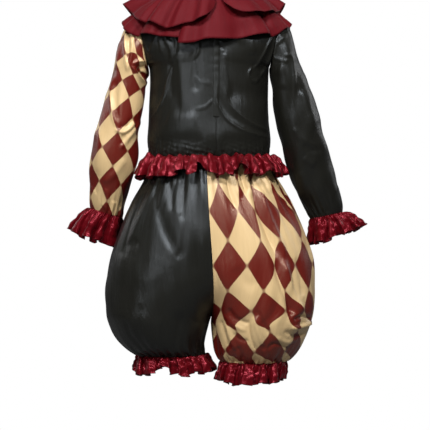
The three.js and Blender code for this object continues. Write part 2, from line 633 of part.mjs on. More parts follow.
addTop();
addSleeve("left", LEFT_SLEEVE, -1, SATIN_HARLEQUIN, LEFT_CUFF_RUFFLE);
addSleeve("right", RIGHT_SLEEVE, 1, SATIN_BLACK, RIGHT_CUFF_RUFFLE);
addWaistRuffle();
addLeg("left", -1, SATIN_BLACK, LEFT_KNEE_RUFFLE);
addLeg("right", 1, SATIN_HARLEQUIN, RIGHT_KNEE_RUFFLE);
addCollar();

export default costume;
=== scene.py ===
"""Dresses a clown's costume in cloth: satin panels with folds and gathers, ruffles, a collar and a closure.

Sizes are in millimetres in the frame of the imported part, and become metres when a mesh is made. Seen
from the side of the closure, which faces -Y, +X is to the right and +Z is up.
"""

import logging
import math
from collections.abc import Callable, Sequence
from dataclasses import dataclass, field, fields
from enum import Enum
from types import SimpleNamespace

import bpy
import numpy as np
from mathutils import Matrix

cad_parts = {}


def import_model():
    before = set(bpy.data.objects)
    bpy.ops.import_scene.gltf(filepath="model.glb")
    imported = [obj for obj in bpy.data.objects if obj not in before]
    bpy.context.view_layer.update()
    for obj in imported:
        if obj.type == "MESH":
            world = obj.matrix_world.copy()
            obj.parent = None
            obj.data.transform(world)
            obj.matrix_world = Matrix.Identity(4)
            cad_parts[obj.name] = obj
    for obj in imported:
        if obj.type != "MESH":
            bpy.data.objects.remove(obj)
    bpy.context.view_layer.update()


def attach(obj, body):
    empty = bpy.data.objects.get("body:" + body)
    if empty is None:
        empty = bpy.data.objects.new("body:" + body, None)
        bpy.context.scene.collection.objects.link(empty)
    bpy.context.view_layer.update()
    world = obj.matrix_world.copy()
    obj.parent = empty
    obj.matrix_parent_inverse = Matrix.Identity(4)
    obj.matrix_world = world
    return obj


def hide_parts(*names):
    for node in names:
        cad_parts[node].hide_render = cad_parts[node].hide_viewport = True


Array = np.ndarray
Point = tuple[float, float]
Colour = tuple[float, float, float]
Spot = tuple[float, float, float]
Inputs = dict[str | int, object]
Socket = bpy.types.NodeSocket
Tree = bpy.types.NodeTree
Ring = Callable[[Array], Array]

WHITE = (1, 1, 1, 1)
MM = 0.001
TURN = 2 * math.pi
SHADER_TURN = 6.2832  # the whole turn that the weave's and the hem's shader nodes count with

# How thick the cloths are drawn, and how deep and how wide a seam sinks.
SHELL = 0.9
RUFFLE_SHELL = 0.6
COLLAR_SHELL = 0.8
BAND_SHELL = 1.4
SEAM_DIP = 0.4
SEAM_REACH = 2.0

# Heights of the top's hem and of the bloomers' waist.
HEM_Z = -370
WAIST_Z = -372

# The widths on which the cloths' own coordinates are counted.
SLEEVE_ROUND = 310
LEG_ROUND = 336
COLLAR_ROUND = 780
BAND_ROUND = 370

# How many steps each span of a crease is followed in.
CREASE_STEPS = 14

LOG = logging.getLogger("costume")


class Side(Enum):
    """The half of the costume that a piece lies on."""

    BACK = -1
    FRONT = 1


Place = Callable[[Side, Array, Array], Array]


# Shared maths


def smooth_curve(table: Array, t: Array) -> Array:
    """Reads a table at places between its rows, along a smooth curve through them.

    Args:
        table: the rows, along the first axis.
        t: places, counted in rows.

    Returns:
        The values at each place.
    """
    last = len(table) - 1
    i = np.clip(np.floor(t).astype(int), 0, last - 1)
    s = (t - i).reshape(t.shape + (1,) * (table.ndim - 1))
    a, b, d, e = table[np.clip(i - 1, 0, last)], table[i], table[i + 1], table[np.clip(i + 2, 0, last)]
    return b + 0.5 * s * (d - a + s * (2 * a - 5 * b + 4 * d - e + s * (3 * (b - d) + e - a)))


def sample(rows: Sequence[object], t: Array) -> SimpleNamespace:
    """Reads a table of rows at places between them, each column as a smooth curve.

    Args:
        rows: dataclass instances with number fields.
        t: places, counted in rows.

    Returns:
        One array per column, under the column's name.
    """
    columns = {}
    for column in fields(rows[0]):
        columns[column.name] = smooth_curve(np.array([getattr(row, column.name) for row in rows], float), t)
    return SimpleNamespace(**columns)


def smoothstep(x: Array, low: float, high: float) -> Array:
    """Rises smoothly from 0 at low to 1 at high."""
    s = np.clip((x - low) / (high - low), 0, 1)
    return s * s * (3 - 2 * s)


def grid(us: Array, vs: Array) -> tuple[Array, Array]:
    """Two grids, one row for each v, of the u and the v of each point."""
    return np.meshgrid(us, vs)


def undulation(u: Array, v: Array, wavelength: float, seed: int) -> Array:
    """A soft, irregular swell between about -1 and 1.

    Args:
        u: first coordinate.
        v: second coordinate.
        wavelength: distance between swells.
        seed: picks the pattern.

    Returns:
        The height at each point.
    """
    draw = np.random.RandomState(seed)
    total = np.zeros_like(u, dtype=float)
    for _ in range(7):
        angle, phase = draw.uniform(0, TURN, 2)
        stretch = draw.uniform(0.7, 1.5)
        k = TURN / (wavelength * stretch)
        total += np.sin(k * (u * math.cos(angle) + v * math.sin(angle)) + phase)
    return total / 3.2


def drift(angle: Array, seed: float) -> Array:
    """How far the waves round a ring wander from an even spacing."""
    return 0.7 * np.sin(3 * angle + seed) + 0.45 * np.sin(5 * angle + 2 * seed)


def swell(angle: Array, seed: float) -> Array:
    """How much stronger or weaker the waves get round a ring."""
    return 1 + 0.22 * np.sin(4 * angle + seed)


def waves(count: float, seed: float, turn: Array) -> Array:
    """The uneven waves of a gathered edge, the same again after a full turn."""
    angle = TURN * turn
    return np.cos(count * angle + drift(angle, seed)) * swell(angle, seed)


def uneven(turn: Array, knots: int, seed: int) -> Array:
    """A smooth random height between -1 and 1 round a ring, the same again after a full turn."""
    table = np.random.RandomState(seed).uniform(-1, 1, knots)
    place = np.mod(turn, 1.0) * knots
    i = np.floor(place).astype(int) % knots
    s = smoothstep(place - np.floor(place), 0, 1)
    return table[i] * (1 - s) + table[(i + 1) % knots] * s


def gathers(along: Array, away: Array, pitch: float, reach: float, seed: float) -> Array:
    """Small pleats that spring from a gathered seam and run out into the cloth.

    Args:
        along: distance along the seam.
        away: distance from the seam.
        pitch: distance between pleats at the seam.
        reach: how far the pleats run.
        seed: picks the pattern.

    Returns:
        Heights between about -1 and 1.
    """
    wander = 0.45 * np.sin(along / (pitch * 2.3) + seed) + 0.6 * np.sin(along / (pitch * 5.1) + 2 * seed)
    phase = along / pitch + wander
    fine = np.cos(TURN * phase) * np.exp(-away / (0.45 * reach))
    broad = np.cos(math.pi * phase + 1.1 * seed) * np.exp(-away / reach) * smoothstep(away, 0, 0.5 * reach)
    return 0.75 * fine + broad


@dataclass(frozen=True)
class Knot:
    """A point that a crease runs through."""

    x: float
    z: float


@dataclass(frozen=True)
class Crease:
    """A fold placed on a panel that is seen square on.

    Args:
        path: the points that it runs through.
        width: half its width.
        height: how high it stands, below zero for a hollow.
        side: the side of the costume that it is on.
        lean: how much wider its right-hand slope is.
    """

    path: tuple[Point, ...]
    width: float
    height: float
    side: Side = Side.BACK
    lean: float = 1.0

    def heights(self, x: Array, z: Array) -> Array:
        """How far the crease lifts the cloth at each point.

        Args:
            x: places across.
            z: places up.

        Returns:
            Heights, below zero where the cloth sinks.
        """
        knots = np.array(self.path, float)
        spans = len(knots) - 1
        t = np.linspace(0, spans, CREASE_STEPS * spans + 1)
        curve = sample([Knot(*knot) for knot in knots], t)
        best = np.full(x.shape, np.inf)
        share = np.zeros(x.shape)
        sign = np.ones(x.shape)
        step_x = np.gradient(curve.x)
        step_z = np.gradient(curve.z)
        for i in range(len(t)):
            dx, dz = x - curve.x[i], z - curve.z[i]
            distance = dx * dx + dz * dz
            nearer = distance < best
            best = np.where(nearer, distance, best)
            share = np.where(nearer, i / (len(t) - 1), share)
            sign = np.where(nearer, np.sign(step_x[i] * dz - step_z[i] * dx), sign)
        away = np.sqrt(best) * sign
        width = np.where(away > 0, self.width, self.width * self.lean)
        fading = smoothstep(share, -0.02, 0.22) * (1 - smoothstep(share, 0.78, 1.02))
        return self.height * fading * np.exp(-((away / width) ** 2))


def seam_dip(u: Array, wide: Array) -> Array:
    """How far a panel of some width sinks beside its two seams. u runs from one to the other."""
    return SEAM_DIP * np.exp(-np.minimum(u, 1 - u) * wide / SEAM_REACH)


def creased(creases: Sequence[Crease], side: Side, x: Array, z: Array) -> Array:
    """The sum of the creases on one side of a panel."""
    total = np.zeros(x.shape)
    for crease in creases:
        if crease.side is side:
            total += crease.heights(x, z)
    return total


# Cloth meshes


@dataclass
class Cloth:
    """A sheet of cloth as a grid of points, with the cloth's own coordinates on it.

    Args:
        name: the piece's name.
        points: rows of points in millimetres.
        weave: the cloth's own millimetres, across and along.
        facing: 1 or -1, the side of the grid that is outwards.
        closed: whether each row is a ring. Then its last point repeats its first.
        pattern: where each point lies in the print, in half lozenges.
        hem: each point's distances along and from the hem, in metres.
    """

    name: str
    points: Array
    weave: Array
    facing: int
    closed: bool = False
    pattern: Array | None = None
    hem: Array | None = None

    def normals(self) -> Array:
        """The outward direction at each point."""
        p = self.points
        along = np.gradient(p, axis=0)
        across = np.gradient(p, axis=1)
        if self.closed:
            join = (p[:, 1] - p[:, -2]) / 2
            across[:, 0] = join
            across[:, -1] = join
        normal = np.cross(across, along) * self.facing
        return normal / np.maximum(np.linalg.norm(normal, axis=2, keepdims=True), 1e-9)

    def lift(self, heights: Array) -> None:
        """Moves each point out by its height."""
        self.points = self.points + self.normals() * heights[..., None]

    def build(self, thick: float = SHELL) -> bpy.types.Object:
        """Makes the mesh, its wall and its maps.

        Args:
            thick: the cloth's thickness.

        Returns:
            The finished object.
        """
        rows, columns = self.points.shape[:2]
        wide = columns - 1 if self.closed else columns
        mesh = bpy.data.meshes.new(self.name)
        verts = self.points[:, :wide].reshape(-1, 3) * MM
        j, i = np.mgrid[0 : rows - 1, 0 : columns - 1]
        a = j * wide + i
        b = j * wide + (i + 1) % wide
        c = b + wide
        d = a + wide
        order = (0, 1, 2, 3) if self.facing > 0 else (0, 3, 2, 1)
        quads, at_j, at_i = (
            np.stack([corners[k] for k in order], axis=-1)
            for corners in ((a, b, c, d), (j, j, j + 1, j + 1), (i, i + 1, i + 1, i))
        )
        mesh.from_pydata(verts.tolist(), [], quads.reshape(-1, 4).tolist())
        for title, values in (("Cloth", self.weave * MM), ("Print", self.pattern), ("Hem", self.hem)):
            if values is None:
                continue
            layer = mesh.uv_layers.new(name=title)
            layer.data.foreach_set("uv", values[at_j.ravel(), at_i.ravel()].astype(np.float32).ravel())
        mesh.shade_smooth()
        mesh.update()
        piece = bpy.data.objects.new(self.name, mesh)
        bpy.context.scene.collection.objects.link(piece)
        wall = piece.modifiers.new("wall", "SOLIDIFY")
        wall.thickness = thick * MM
        wall.offset = -1
        return piece


def hemmed_cloth(name: str, points: Array, along: Array, lengths: Array, facing: int,
                 closed: bool = False) -> Cloth:
    """A cloth with a hem along its last row.

    Args:
        name: the piece's name.
        points: rows of points.
        along: each point's distance along the cloth.
        lengths: its distance from the first row.
        facing: the side of the grid that is outwards.
        closed: whether each row is a ring.

    Returns:
        The cloth.
    """
    weave = np.stack([along, lengths], axis=-1)
    hem = np.stack([along, lengths[-1:] - lengths], axis=-1) * MM
    return Cloth(name, points, weave, facing, closed, hem=hem)


def arc_lengths(points: Array, axis: int) -> Array:
    """Distances along a grid of points in one direction, from its start."""
    steps = np.linalg.norm(np.diff(points, axis=axis), axis=2)
    start = np.zeros((1, steps.shape[1]) if axis == 0 else (steps.shape[0], 1))
    return np.concatenate([start, np.cumsum(steps, axis=axis)], axis=axis)


# Finishes


class Wiring:
    """Adds and joins the nodes of one tree."""

    def __init__(self, tree: Tree) -> None:
        """Keeps the tree."""
        self.tree = tree

    def node(self, kind: str, inputs: Inputs | None = None, **settings: object) -> bpy.types.Node:
        """Adds a node.

        Args:
            kind: its type.
            inputs: what feeds its inputs, by name or by number.
            settings: its properties.

        Returns:
            The node.
        """
        node = self.tree.nodes.new(kind)
        for name, value in settings.items():
            setattr(node, name, value)
        for socket, value in (inputs or {}).items():
            self.feed(node.inputs[socket], value)
        return node

    def feed(self, socket: Socket, value: object) -> None:
        """Joins a socket to another, or sets its value."""
        if isinstance(value, Socket):
            self.tree.links.new(value, socket)
        else:
            socket.default_value = value

    def maths(self, operation: str, *values: object, clamp: bool = False) -> Socket:
        """Adds a Math node."""
        node = self.node("ShaderNodeMath", dict(enumerate(values)), operation=operation, use_clamp=clamp)
        return node.outputs[0]

    def mix(self, share: object, first: object, second: object, blend: str = "MIX") -> Socket:
        """Adds a colour Mix node."""
        inputs = {0: share, 6: first, 7: second}
        return self.node("ShaderNodeMix", inputs, data_type="RGBA", blend_type=blend).outputs[2]

    def ramp(self, value: object, low: float, high: float) -> Socket:
        """A value's smooth rise from 0 at low to 1 at high."""
        inputs = {"Value": value, "From Min": low, "From Max": high}
        return self.node("ShaderNodeMapRange", inputs, interpolation_type="SMOOTHSTEP").outputs["Result"]

    def split(self, vector: object) -> tuple[Socket, Socket]:
        """A vector's X and Y."""
        parts = self.node("ShaderNodeSeparateXYZ", {0: vector})
        return parts.outputs["X"], parts.outputs["Y"]

    def noise(self, vector: object, stretch: Colour, turn: float, scale: object, detail: float,
              distortion: float = 0.0) -> Socket:
        """Noise that is stretched and turned on the cloth."""
        inputs = {"Vector": vector, "Scale": stretch, "Rotation": (0, 0, turn)}
        mapped = self.node("ShaderNodeMapping", inputs).outputs[0]
        inputs = {"Vector": mapped, "Scale": scale, "Detail": detail, "Distortion": distortion}
        return self.node("ShaderNodeTexNoise", inputs).outputs[0]

    def effect(self, tree: Tree, layer: str, **values: object) -> bpy.types.bpy_prop_collection:
        """Adds a shared effect that reads one of the cloth's own maps, and gives its outputs."""
        inputs = {"Vector": self.node("ShaderNodeUVMap", uv_map=layer).outputs[0], **values}
        return self.node("ShaderNodeGroup", inputs, node_tree=tree).outputs

    def bump(self, height: object, depth: float, strength: float, under: object = None) -> Socket:
        """Adds a Bump node that is so many millimetres deep, over another."""
        inputs = {"Strength": strength, "Distance": depth * MM, "Height": height}
        if under is not None:
            inputs["Normal"] = under
        return self.node("ShaderNodeBump", inputs).outputs[0]

    def seen(self, surface: bpy.types.Node, shown: bpy.types.Node) -> Socket:
        """Shows the camera another surface than the one that lights the costume."""
        camera = self.node("ShaderNodeLightPath").outputs["Is Camera Ray"]
        inputs = {0: camera, 1: surface.outputs[0], 2: shown.outputs[0]}
        return self.node("ShaderNodeMixShader", inputs).outputs[0]


class Effect(Wiring):
    """The nodes of a group that the cloths share. It reads a vector and gives numbers."""

    def __init__(self, title: str, inputs: dict[str, float], outputs: Sequence[str]) -> None:
        """Starts the group.

        Args:
            title: its name.
            inputs: the names and values of its number inputs.
            outputs: the names of its outputs.
        """
        super().__init__(bpy.data.node_groups.new(title, "ShaderNodeTree"))
        sockets = self.tree.interface
        sockets.new_socket("Vector", in_out="INPUT", socket_type="NodeSocketVector")
        for name, value in inputs.items():
            sockets.new_socket(name, in_out="INPUT", socket_type="NodeSocketFloat").default_value = value
        for name in outputs:
            sockets.new_socket(name, in_out="OUTPUT", socket_type="NodeSocketFloat")
        self.source = self.node("NodeGroupInput").outputs
        self.sink = self.node("NodeGroupOutput").inputs


def weave_group() -> Tree:
    """Satin's long floats: a fine slanting grain, and slow changes of shade and height along the threads."""
    w = Effect("Satin weave", {"Pitch": 0.0006, "Slub": 1}, ("Height", "Shade", "Streak"))
    x, y = w.split(w.source["Vector"])
    turns = w.maths("DIVIDE", SHADER_TURN, w.source["Pitch"])
    slant = w.maths("MULTIPLY_ADD", y, 0.18, x)
    warp = w.maths("SINE", w.maths("MULTIPLY", slant, turns))
    weft = w.maths("SINE", w.maths("MULTIPLY", y, w.maths("MULTIPLY", turns, 0.45)))
    w.feed(w.sink["Height"], w.maths("MULTIPLY_ADD", weft, 0.3, w.maths("MULTIPLY", warp, 0.7)))
    shade, streak = (
        w.noise(w.source["Vector"], stretch, turn, 1, 3)
        for stretch, turn in (((240, 14, 1), 0.0), ((95, 13, 1), 0.12))
    )
    w.feed(w.sink["Shade"], w.maths("MULTIPLY", w.maths("SUBTRACT", shade, 0.5), w.source["Slub"]))
    w.feed(w.sink["Streak"], streak)
    return w.tree


def wrinkle_group() -> Tree:
    """The small soft wrinkles that cover worn cloth."""
    w = Effect("Worn wrinkles", {"Size": 0.03}, ("Height",))
    heights = []
    for stretch, share in (((1.0, 0.4, 1.0), 1.0), ((0.5, 1.1, 1.0), 2.3)):
        scale = w.maths("DIVIDE", share, w.source["Size"])
        noise = w.noise(w.source["Vector"], stretch, 0.5 * share, scale, 2, 0.6)
        heights.append(w.maths("DIVIDE", noise, share))
    w.feed(w.sink["Height"], w.maths("ADD", *heights))
    return w.tree


def hem_group() -> Tree:
    """A rolled edge, darkened partly as dark thread and partly as painted shade in the roll's fold, and the
    dashed stitches beside it, from the distances along and from the hem.
    """
    w = Effect("Rolled hem", {"Stitch pitch": 0.003}, ("Roll", "Stitch"))
    x, y = w.split(w.source["Vector"])
    # The rolled edge's last two millimetres, darkened partly as dark thread and partly as painted shade in
    # the roll's fold.
    w.feed(w.sink["Roll"], w.maths("SUBTRACT", 1, w.ramp(y, 0.0004, 0.0022)))
    turns = w.maths("DIVIDE", SHADER_TURN, w.source["Stitch pitch"])
    dash = w.ramp(w.maths("SINE", w.maths("MULTIPLY", x, turns)), -0.2, 0.3)
    away = w.maths("ABSOLUTE", w.maths("SUBTRACT", y, 0.0042))
    line = w.maths("SUBTRACT", 1, w.ramp(away, 0.0002, 0.0006))
    w.feed(w.sink["Stitch"], w.maths("MULTIPLY", line, dash))
    return w.tree


def harlequin_group() -> Tree:
    """Lozenges whose corners lie at whole numbers of half widths and half heights."""
    w = Effect("Harlequin print", {"Blur": 0.02}, ("Red", "Edge"))
    x, y = w.split(w.source["Vector"])
    signs = []
    for direction in (1, -1):
        place = w.maths("MULTIPLY_ADD", y, direction, x)
        signs.append(w.maths("COSINE", w.maths("MULTIPLY", place, math.pi / 2)))
    scaled = w.maths("DIVIDE", w.maths("MULTIPLY", *signs), w.source["Blur"])
    w.feed(w.sink["Red"], w.maths("MULTIPLY_ADD", scaled, -0.5, 0.5, clamp=True))
    nearness = w.maths("MULTIPLY", w.maths("ABSOLUTE", scaled), 0.45)
    w.feed(w.sink["Edge"], w.maths("SUBTRACT", 1, nearness, clamp=True))
    return w.tree


@dataclass(frozen=True)
class Satin:
    """A satin or crepe and how it takes the light.

    Args:
        name: the material's name.
        colour: the cloth's colour.
        hem_thread_and_shade: the colour of the stitches and of the rolled hem's edge, partly dark thread and
            partly painted shade in the roll's fold.
        rough: the shine's roughness.
        gloss: the strength of the shine.
        shine: the shine's colour.
        fuzz: the strength of the soft sheen.
        fuzz_colour: the sheen's colour.
        wrinkle: the depth of small wrinkles, in millimetres.
        wrinkle_size: how far apart they are, in metres.
        grain: the depth of the weave, in millimetres.
        streak: the depth of the long streaks, in millimetres.
        pitch: the width of a thread, in metres.
        slub: the strength of the slubs.
        second: the colour of its printed lozenges, if it has any.
        hemmed: whether it shows stitches and a rolled edge that is darkened partly as thread and partly as
            painted shade.
    """

    name: str
    colour: Colour
    hem_thread_and_shade: Colour
    rough: float
    gloss: float
    shine: Colour
    fuzz: float = 0.01
    fuzz_colour: Colour = (1.0, 1.0, 1.0)
    wrinkle: float = 0.4
    wrinkle_size: float = 0.06
    grain: float = 0.05
    streak: float = 0.8
    pitch: float = 0.0008
    slub: float = 1.0
    second: Colour | None = None
    hemmed: bool = False

    def build(self, effects: "Effects") -> bpy.types.Material:
        """Makes the material.

        Args:
            effects: the shared node groups.

        Returns:
            The material.
        """
        material = bpy.data.materials.new(self.name)
        material.use_nodes = True
        material.node_tree.nodes.clear()
        w = Wiring(material.node_tree)
        weave = w.effect(effects.weave, "Cloth", Pitch=self.pitch, Slub=self.slub)
        wrinkles = w.effect(effects.wrinkles, "Cloth", Size=self.wrinkle_size)
        base = (*self.colour, 1)
        if self.second is not None:
            lozenges = w.effect(effects.harlequin, "Print")
            base = w.mix(lozenges["Red"], base, (*self.second, 1))
            base = w.mix(w.maths("MULTIPLY", lozenges["Edge"], 0.3), base, (0.055, 0.012, 0.01, 1))
        slub = w.maths("MULTIPLY_ADD", weave["Shade"], 0.55, 0.5, clamp=True)
        shaded = w.mix(1.0, base, w.mix(slub, (0.86, 0.86, 0.86, 1), (1.12, 1.12, 1.12, 1)), "MULTIPLY")
        height = weave["Height"]
        if self.hemmed:
            hem = w.effect(effects.hem, "Hem")
            # The rolled edge is darkened partly as dark thread and partly as painted shade in its fold; the
            # stitches as dark thread.
            shares = {"Roll": 0.75, "Stitch": 0.5}
            marks = [w.maths("MULTIPLY", hem[name], share) for name, share in shares.items()]
            shaded = w.mix(w.maths("MAXIMUM", *marks), shaded, (*self.hem_thread_and_shade, 1))
            height = w.maths("ADD", height, w.maths("MULTIPLY", hem["Stitch"], -3))
        normal = w.bump(height, self.grain, 0.6)
        normal = w.bump(wrinkles["Height"], self.wrinkle, 1.0, normal)
        normal = w.bump(weave["Streak"], self.streak, 1.0, normal)
        shader = w.node("ShaderNodeBsdfPrincipled", {
            "Base Color": shaded,
            "Roughness": w.maths("MULTIPLY_ADD", weave["Shade"], 0.12, self.rough),
            "Normal": normal,
            "Specular IOR Level": self.gloss,
            "Specular Tint": (*self.shine, 1),
            "Sheen Weight": self.fuzz,
            "Sheen Roughness": 0.45,
            "Sheen Tint": (*self.fuzz_colour, 1),
        })
        w.node("ShaderNodeOutputMaterial", {"Surface": shader.outputs[0]})
        return material


class Effects:
    """The node groups that the cloths share."""

    def __init__(self) -> None:
        """Builds each group once."""
        self.weave = weave_group()
        self.wrinkles = wrinkle_group()
        self.harlequin = harlequin_group()
        self.hem = hem_group()


@dataclass(frozen=True)
class Finishes:
    """The costume's cloths."""

    black: bpy.types.Material
    harlequin: bpy.types.Material
    ruffle: bpy.types.Material
    collar: bpy.types.Material
    tape: bpy.types.Material


def make_finishes() -> Finishes:
    """Builds every cloth's material."""
    effects = Effects()
    cool, soft = (0.84, 0.92, 1.0), (0.8, 0.85, 1.0)
    black = Satin(
        "Black satin", colour=(0.0074, 0.0070, 0.0051), hem_thread_and_shade=(0.003, 0.003, 0.003), rough=0.34, gloss=0.26,
        shine=cool, fuzz_colour=soft, wrinkle=0.42,
    )
    harlequin = Satin(
        "Harlequin satin", colour=(0.50, 0.356, 0.182), hem_thread_and_shade=(0.10, 0.03, 0.02), rough=0.33, gloss=0.62,
        shine=(1.0, 0.80, 0.60), wrinkle=0.25, second=(0.092, 0.0046, 0.0028),
    )
    # The ruffle's and the collar's hem colours stand partly for dark thread and partly for painted shade in
    # the fold of their rolled hems.
    ruffle = Satin(
        "Burgundy satin", colour=(0.072, 0.0015, 0.0034), hem_thread_and_shade=(0.010, 0.001, 0.002), rough=0.29, gloss=0.52,
        shine=(1.0, 0.15, 0.21), fuzz=0.02, fuzz_colour=(1.0, 0.55, 0.6), wrinkle=0.3, wrinkle_size=0.014,
        hemmed=True,
    )
    collar = Satin(
        "Burgundy crepe", colour=(0.066, 0.0012, 0.0030), hem_thread_and_shade=(0.045, 0.004, 0.006), rough=0.62, gloss=0.24,
        shine=(1.0, 0.4, 0.45), fuzz=0.03, fuzz_colour=(1.0, 0.5, 0.55), wrinkle_size=0.04, grain=0.12,
        pitch=0.0011, slub=2.4, hemmed=True,
    )
    tape = Satin(
        "Closure satin", colour=(0.0084, 0.0080, 0.0059), hem_thread_and_shade=(0.003, 0.003, 0.003), rough=0.36, gloss=0.22,
        shine=cool, fuzz_colour=soft, wrinkle_size=0.022,
    )
    return Finishes(*(cloth.build(effects) for cloth in (black, harlequin, ruffle, collar, tape)))


@dataclass(frozen=True)
class Cut:
    """The flat cut of what shows of a piece, in metres, with its area where it isn't a rectangle."""

    width: float
    length: float
    area: float | None = None


def finish_piece(cloth: Cloth, material: bpy.types.Material, nodes: Sequence[str], slot: str,
                 cut: Cut, thick: float = SHELL) -> bpy.types.Object:
    """Builds a piece of cloth, dresses it, and puts it in the place of its solids.

    Args:
        cloth: the shaped cloth.
        material: its finish.
        nodes: the solids that it stands for.
        slot: the record's slot of its finish. Not used.
        cut: what it is cut to.
        thick: its thickness in millimetres.

    Returns:
        The finished object.
    """
    piece = cloth.build(thick)
    piece.data.materials.append(material)
    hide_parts(*nodes)
    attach(piece, "root")
    share = cloth_area(cloth.points) / (cut.area or cut.width * cut.length)
    LOG.info("%s: %d faces, %.3f of its cut", piece.name, len(piece.data.polygons), share)
    return piece


def cloth_area(points: Array) -> float:
    """The area of a grid of points in square metres."""
    diagonal = points[1:, 1:] - points[:-1, :-1]
    other = points[1:, :-1] - points[:-1, 1:]
    return float(np.linalg.norm(np.cross(diagonal, other), axis=2).sum() / 2 * MM * MM)


# The top


def both_halves(place: Place, turn: Array, back: Array, front: Array, level: Array) -> Array:
    """Points round a ring, over the back in the first half turn and over the front in the second.

    Args:
        place: gives the points of a side, from how far across they are and from their level.
        turn: places round the ring.
        back: how far across they are on the back.
        front: how far across they are on the front.
        level: their level.

    Returns:
        The points.
    """
    behind, ahead = place(Side.BACK, back, level), place(Side.FRONT, front, level)
    return np.where((turn < 0.5)[:, None], behind, ahead)


@dataclass(frozen=True)
class TopRow:
    """A level of the top: its middle heights behind and in front, its edge, and its depths."""

    back_z: float
    front_z: float
    edge_x: float
    edge_y: float
    edge_z: float
    back: float
    front: float


def level_row(z: float, half: float, back: float, front: float) -> TopRow:
    """A flat level of the top."""
    return TopRow(z, z, half, 0, z, back, front)


@dataclass(frozen=True)
class Armhole:
    """The oval between the underarm and the shoulder point."""

    low_x: float = 139
    low_z: float = -168
    top_x: float = 167
    top_z: float = -40
    half_depth: float = 56
    rows: int = 4


@dataclass
class TopShape:
    """The form of the top that the panels and the sleeves share."""

    armhole: Armhole = field(default_factory=Armhole)
    seam_gap: float = 0.06
    closure_x: float = 17
    low: tuple[TopRow, ...] = (
        level_row(-370, 138, 99, 101),
        level_row(-352, 142, 107, 108),
        level_row(-325, 144.5, 112, 113),
        level_row(-280, 140, 108, 110),
        level_row(-225, 137.5, 103, 107),
        level_row(-168, 139, 101, 106),
    )
    yoke: tuple[TopRow, ...] = (
        TopRow(-72, -80, 167, 0, -40, 98, 100),
        TopRow(-42, -58, 128, 0, -22, 86, 92),
        TopRow(-18, -42, 90, 0, -7, 70, 80),
        TopRow(-2, -30, 60, 0, 6, 60, 70),
    )
    rows: tuple[TopRow, ...] = ()

    def __post_init__(self) -> None:
        """Works out the levels beside the armholes."""
        hole = self.armhole
        start, end = self.low[-1], self.yoke[0]
        beside = []
        for i in range(1, hole.rows):
            s = i / hole.rows
            up = (1 - math.cos(math.pi * s)) / 2
            beside.append(TopRow(
                start.back_z + (end.back_z - start.back_z) * s,
                start.front_z + (end.front_z - start.front_z) * s,
                hole.low_x + (hole.top_x - hole.low_x) * up,
                hole.half_depth * math.sin(math.pi * s),
                hole.low_z + (hole.top_z - hole.low_z) * up,
                start.back + (end.back - start.back) * s,
                start.front + (end.front - start.front) * s,
            ))
        self.rows = (*self.low, *beside, *self.yoke)

    @property
    def underarm(self) -> int:
        """The level of the underarm."""
        return len(self.low) - 1

    @property
    def shoulder(self) -> int:
        """The level of the shoulder point."""
        return self.underarm + self.armhole.rows

    @property
    def neck(self) -> int:
        """The level of the neckline."""
        return len(self.rows) - 1

    def arc(self, side: Side, level: Array) -> SimpleNamespace:
        """The arc of one level on one side: its row, depth, reach in radians and radius."""
        row = sample(self.rows, level)
        depth = row.back if side is Side.BACK else row.front
        reach = np.arccos(np.minimum(1, np.maximum(0, row.edge_y) / depth))
        return SimpleNamespace(row=row, depth=depth, reach=reach, radius=row.edge_x / np.sin(reach))

    def place(self, side: Side, across: Array, level: Array) -> Array:
        """Points on the top, across from -1 at the left edge to 1 at the right."""
        arc = self.arc(side, level)
        x = arc.radius * np.sin(across * arc.reach)
        middle = arc.row.back_z if side is Side.BACK else arc.row.front_z
        z = middle + (arc.row.edge_z - middle) * across**2
        y = side.value * (arc.depth * np.cos(across * arc.reach) + self.seam_gap / 2)
        return np.stack([x, y, z], axis=-1)

    def ring(self, turn: Array, level: float, rise: float) -> Array:
        """Points above a level all round the top, from its left side seam round the back."""
        levels = np.full_like(turn, level, dtype=float)
        foot = both_halves(self.place, turn, turn * 4 - 1, 3 - turn * 4, levels)
        return foot + np.array([0, 0, rise])

    def across_at(self, x: float, level: Array) -> Array:
        """How far across the back a point at a distance from the middle lies."""
        arc = self.arc(Side.BACK, level)
        return np.arcsin(x / arc.radius) / arc.reach


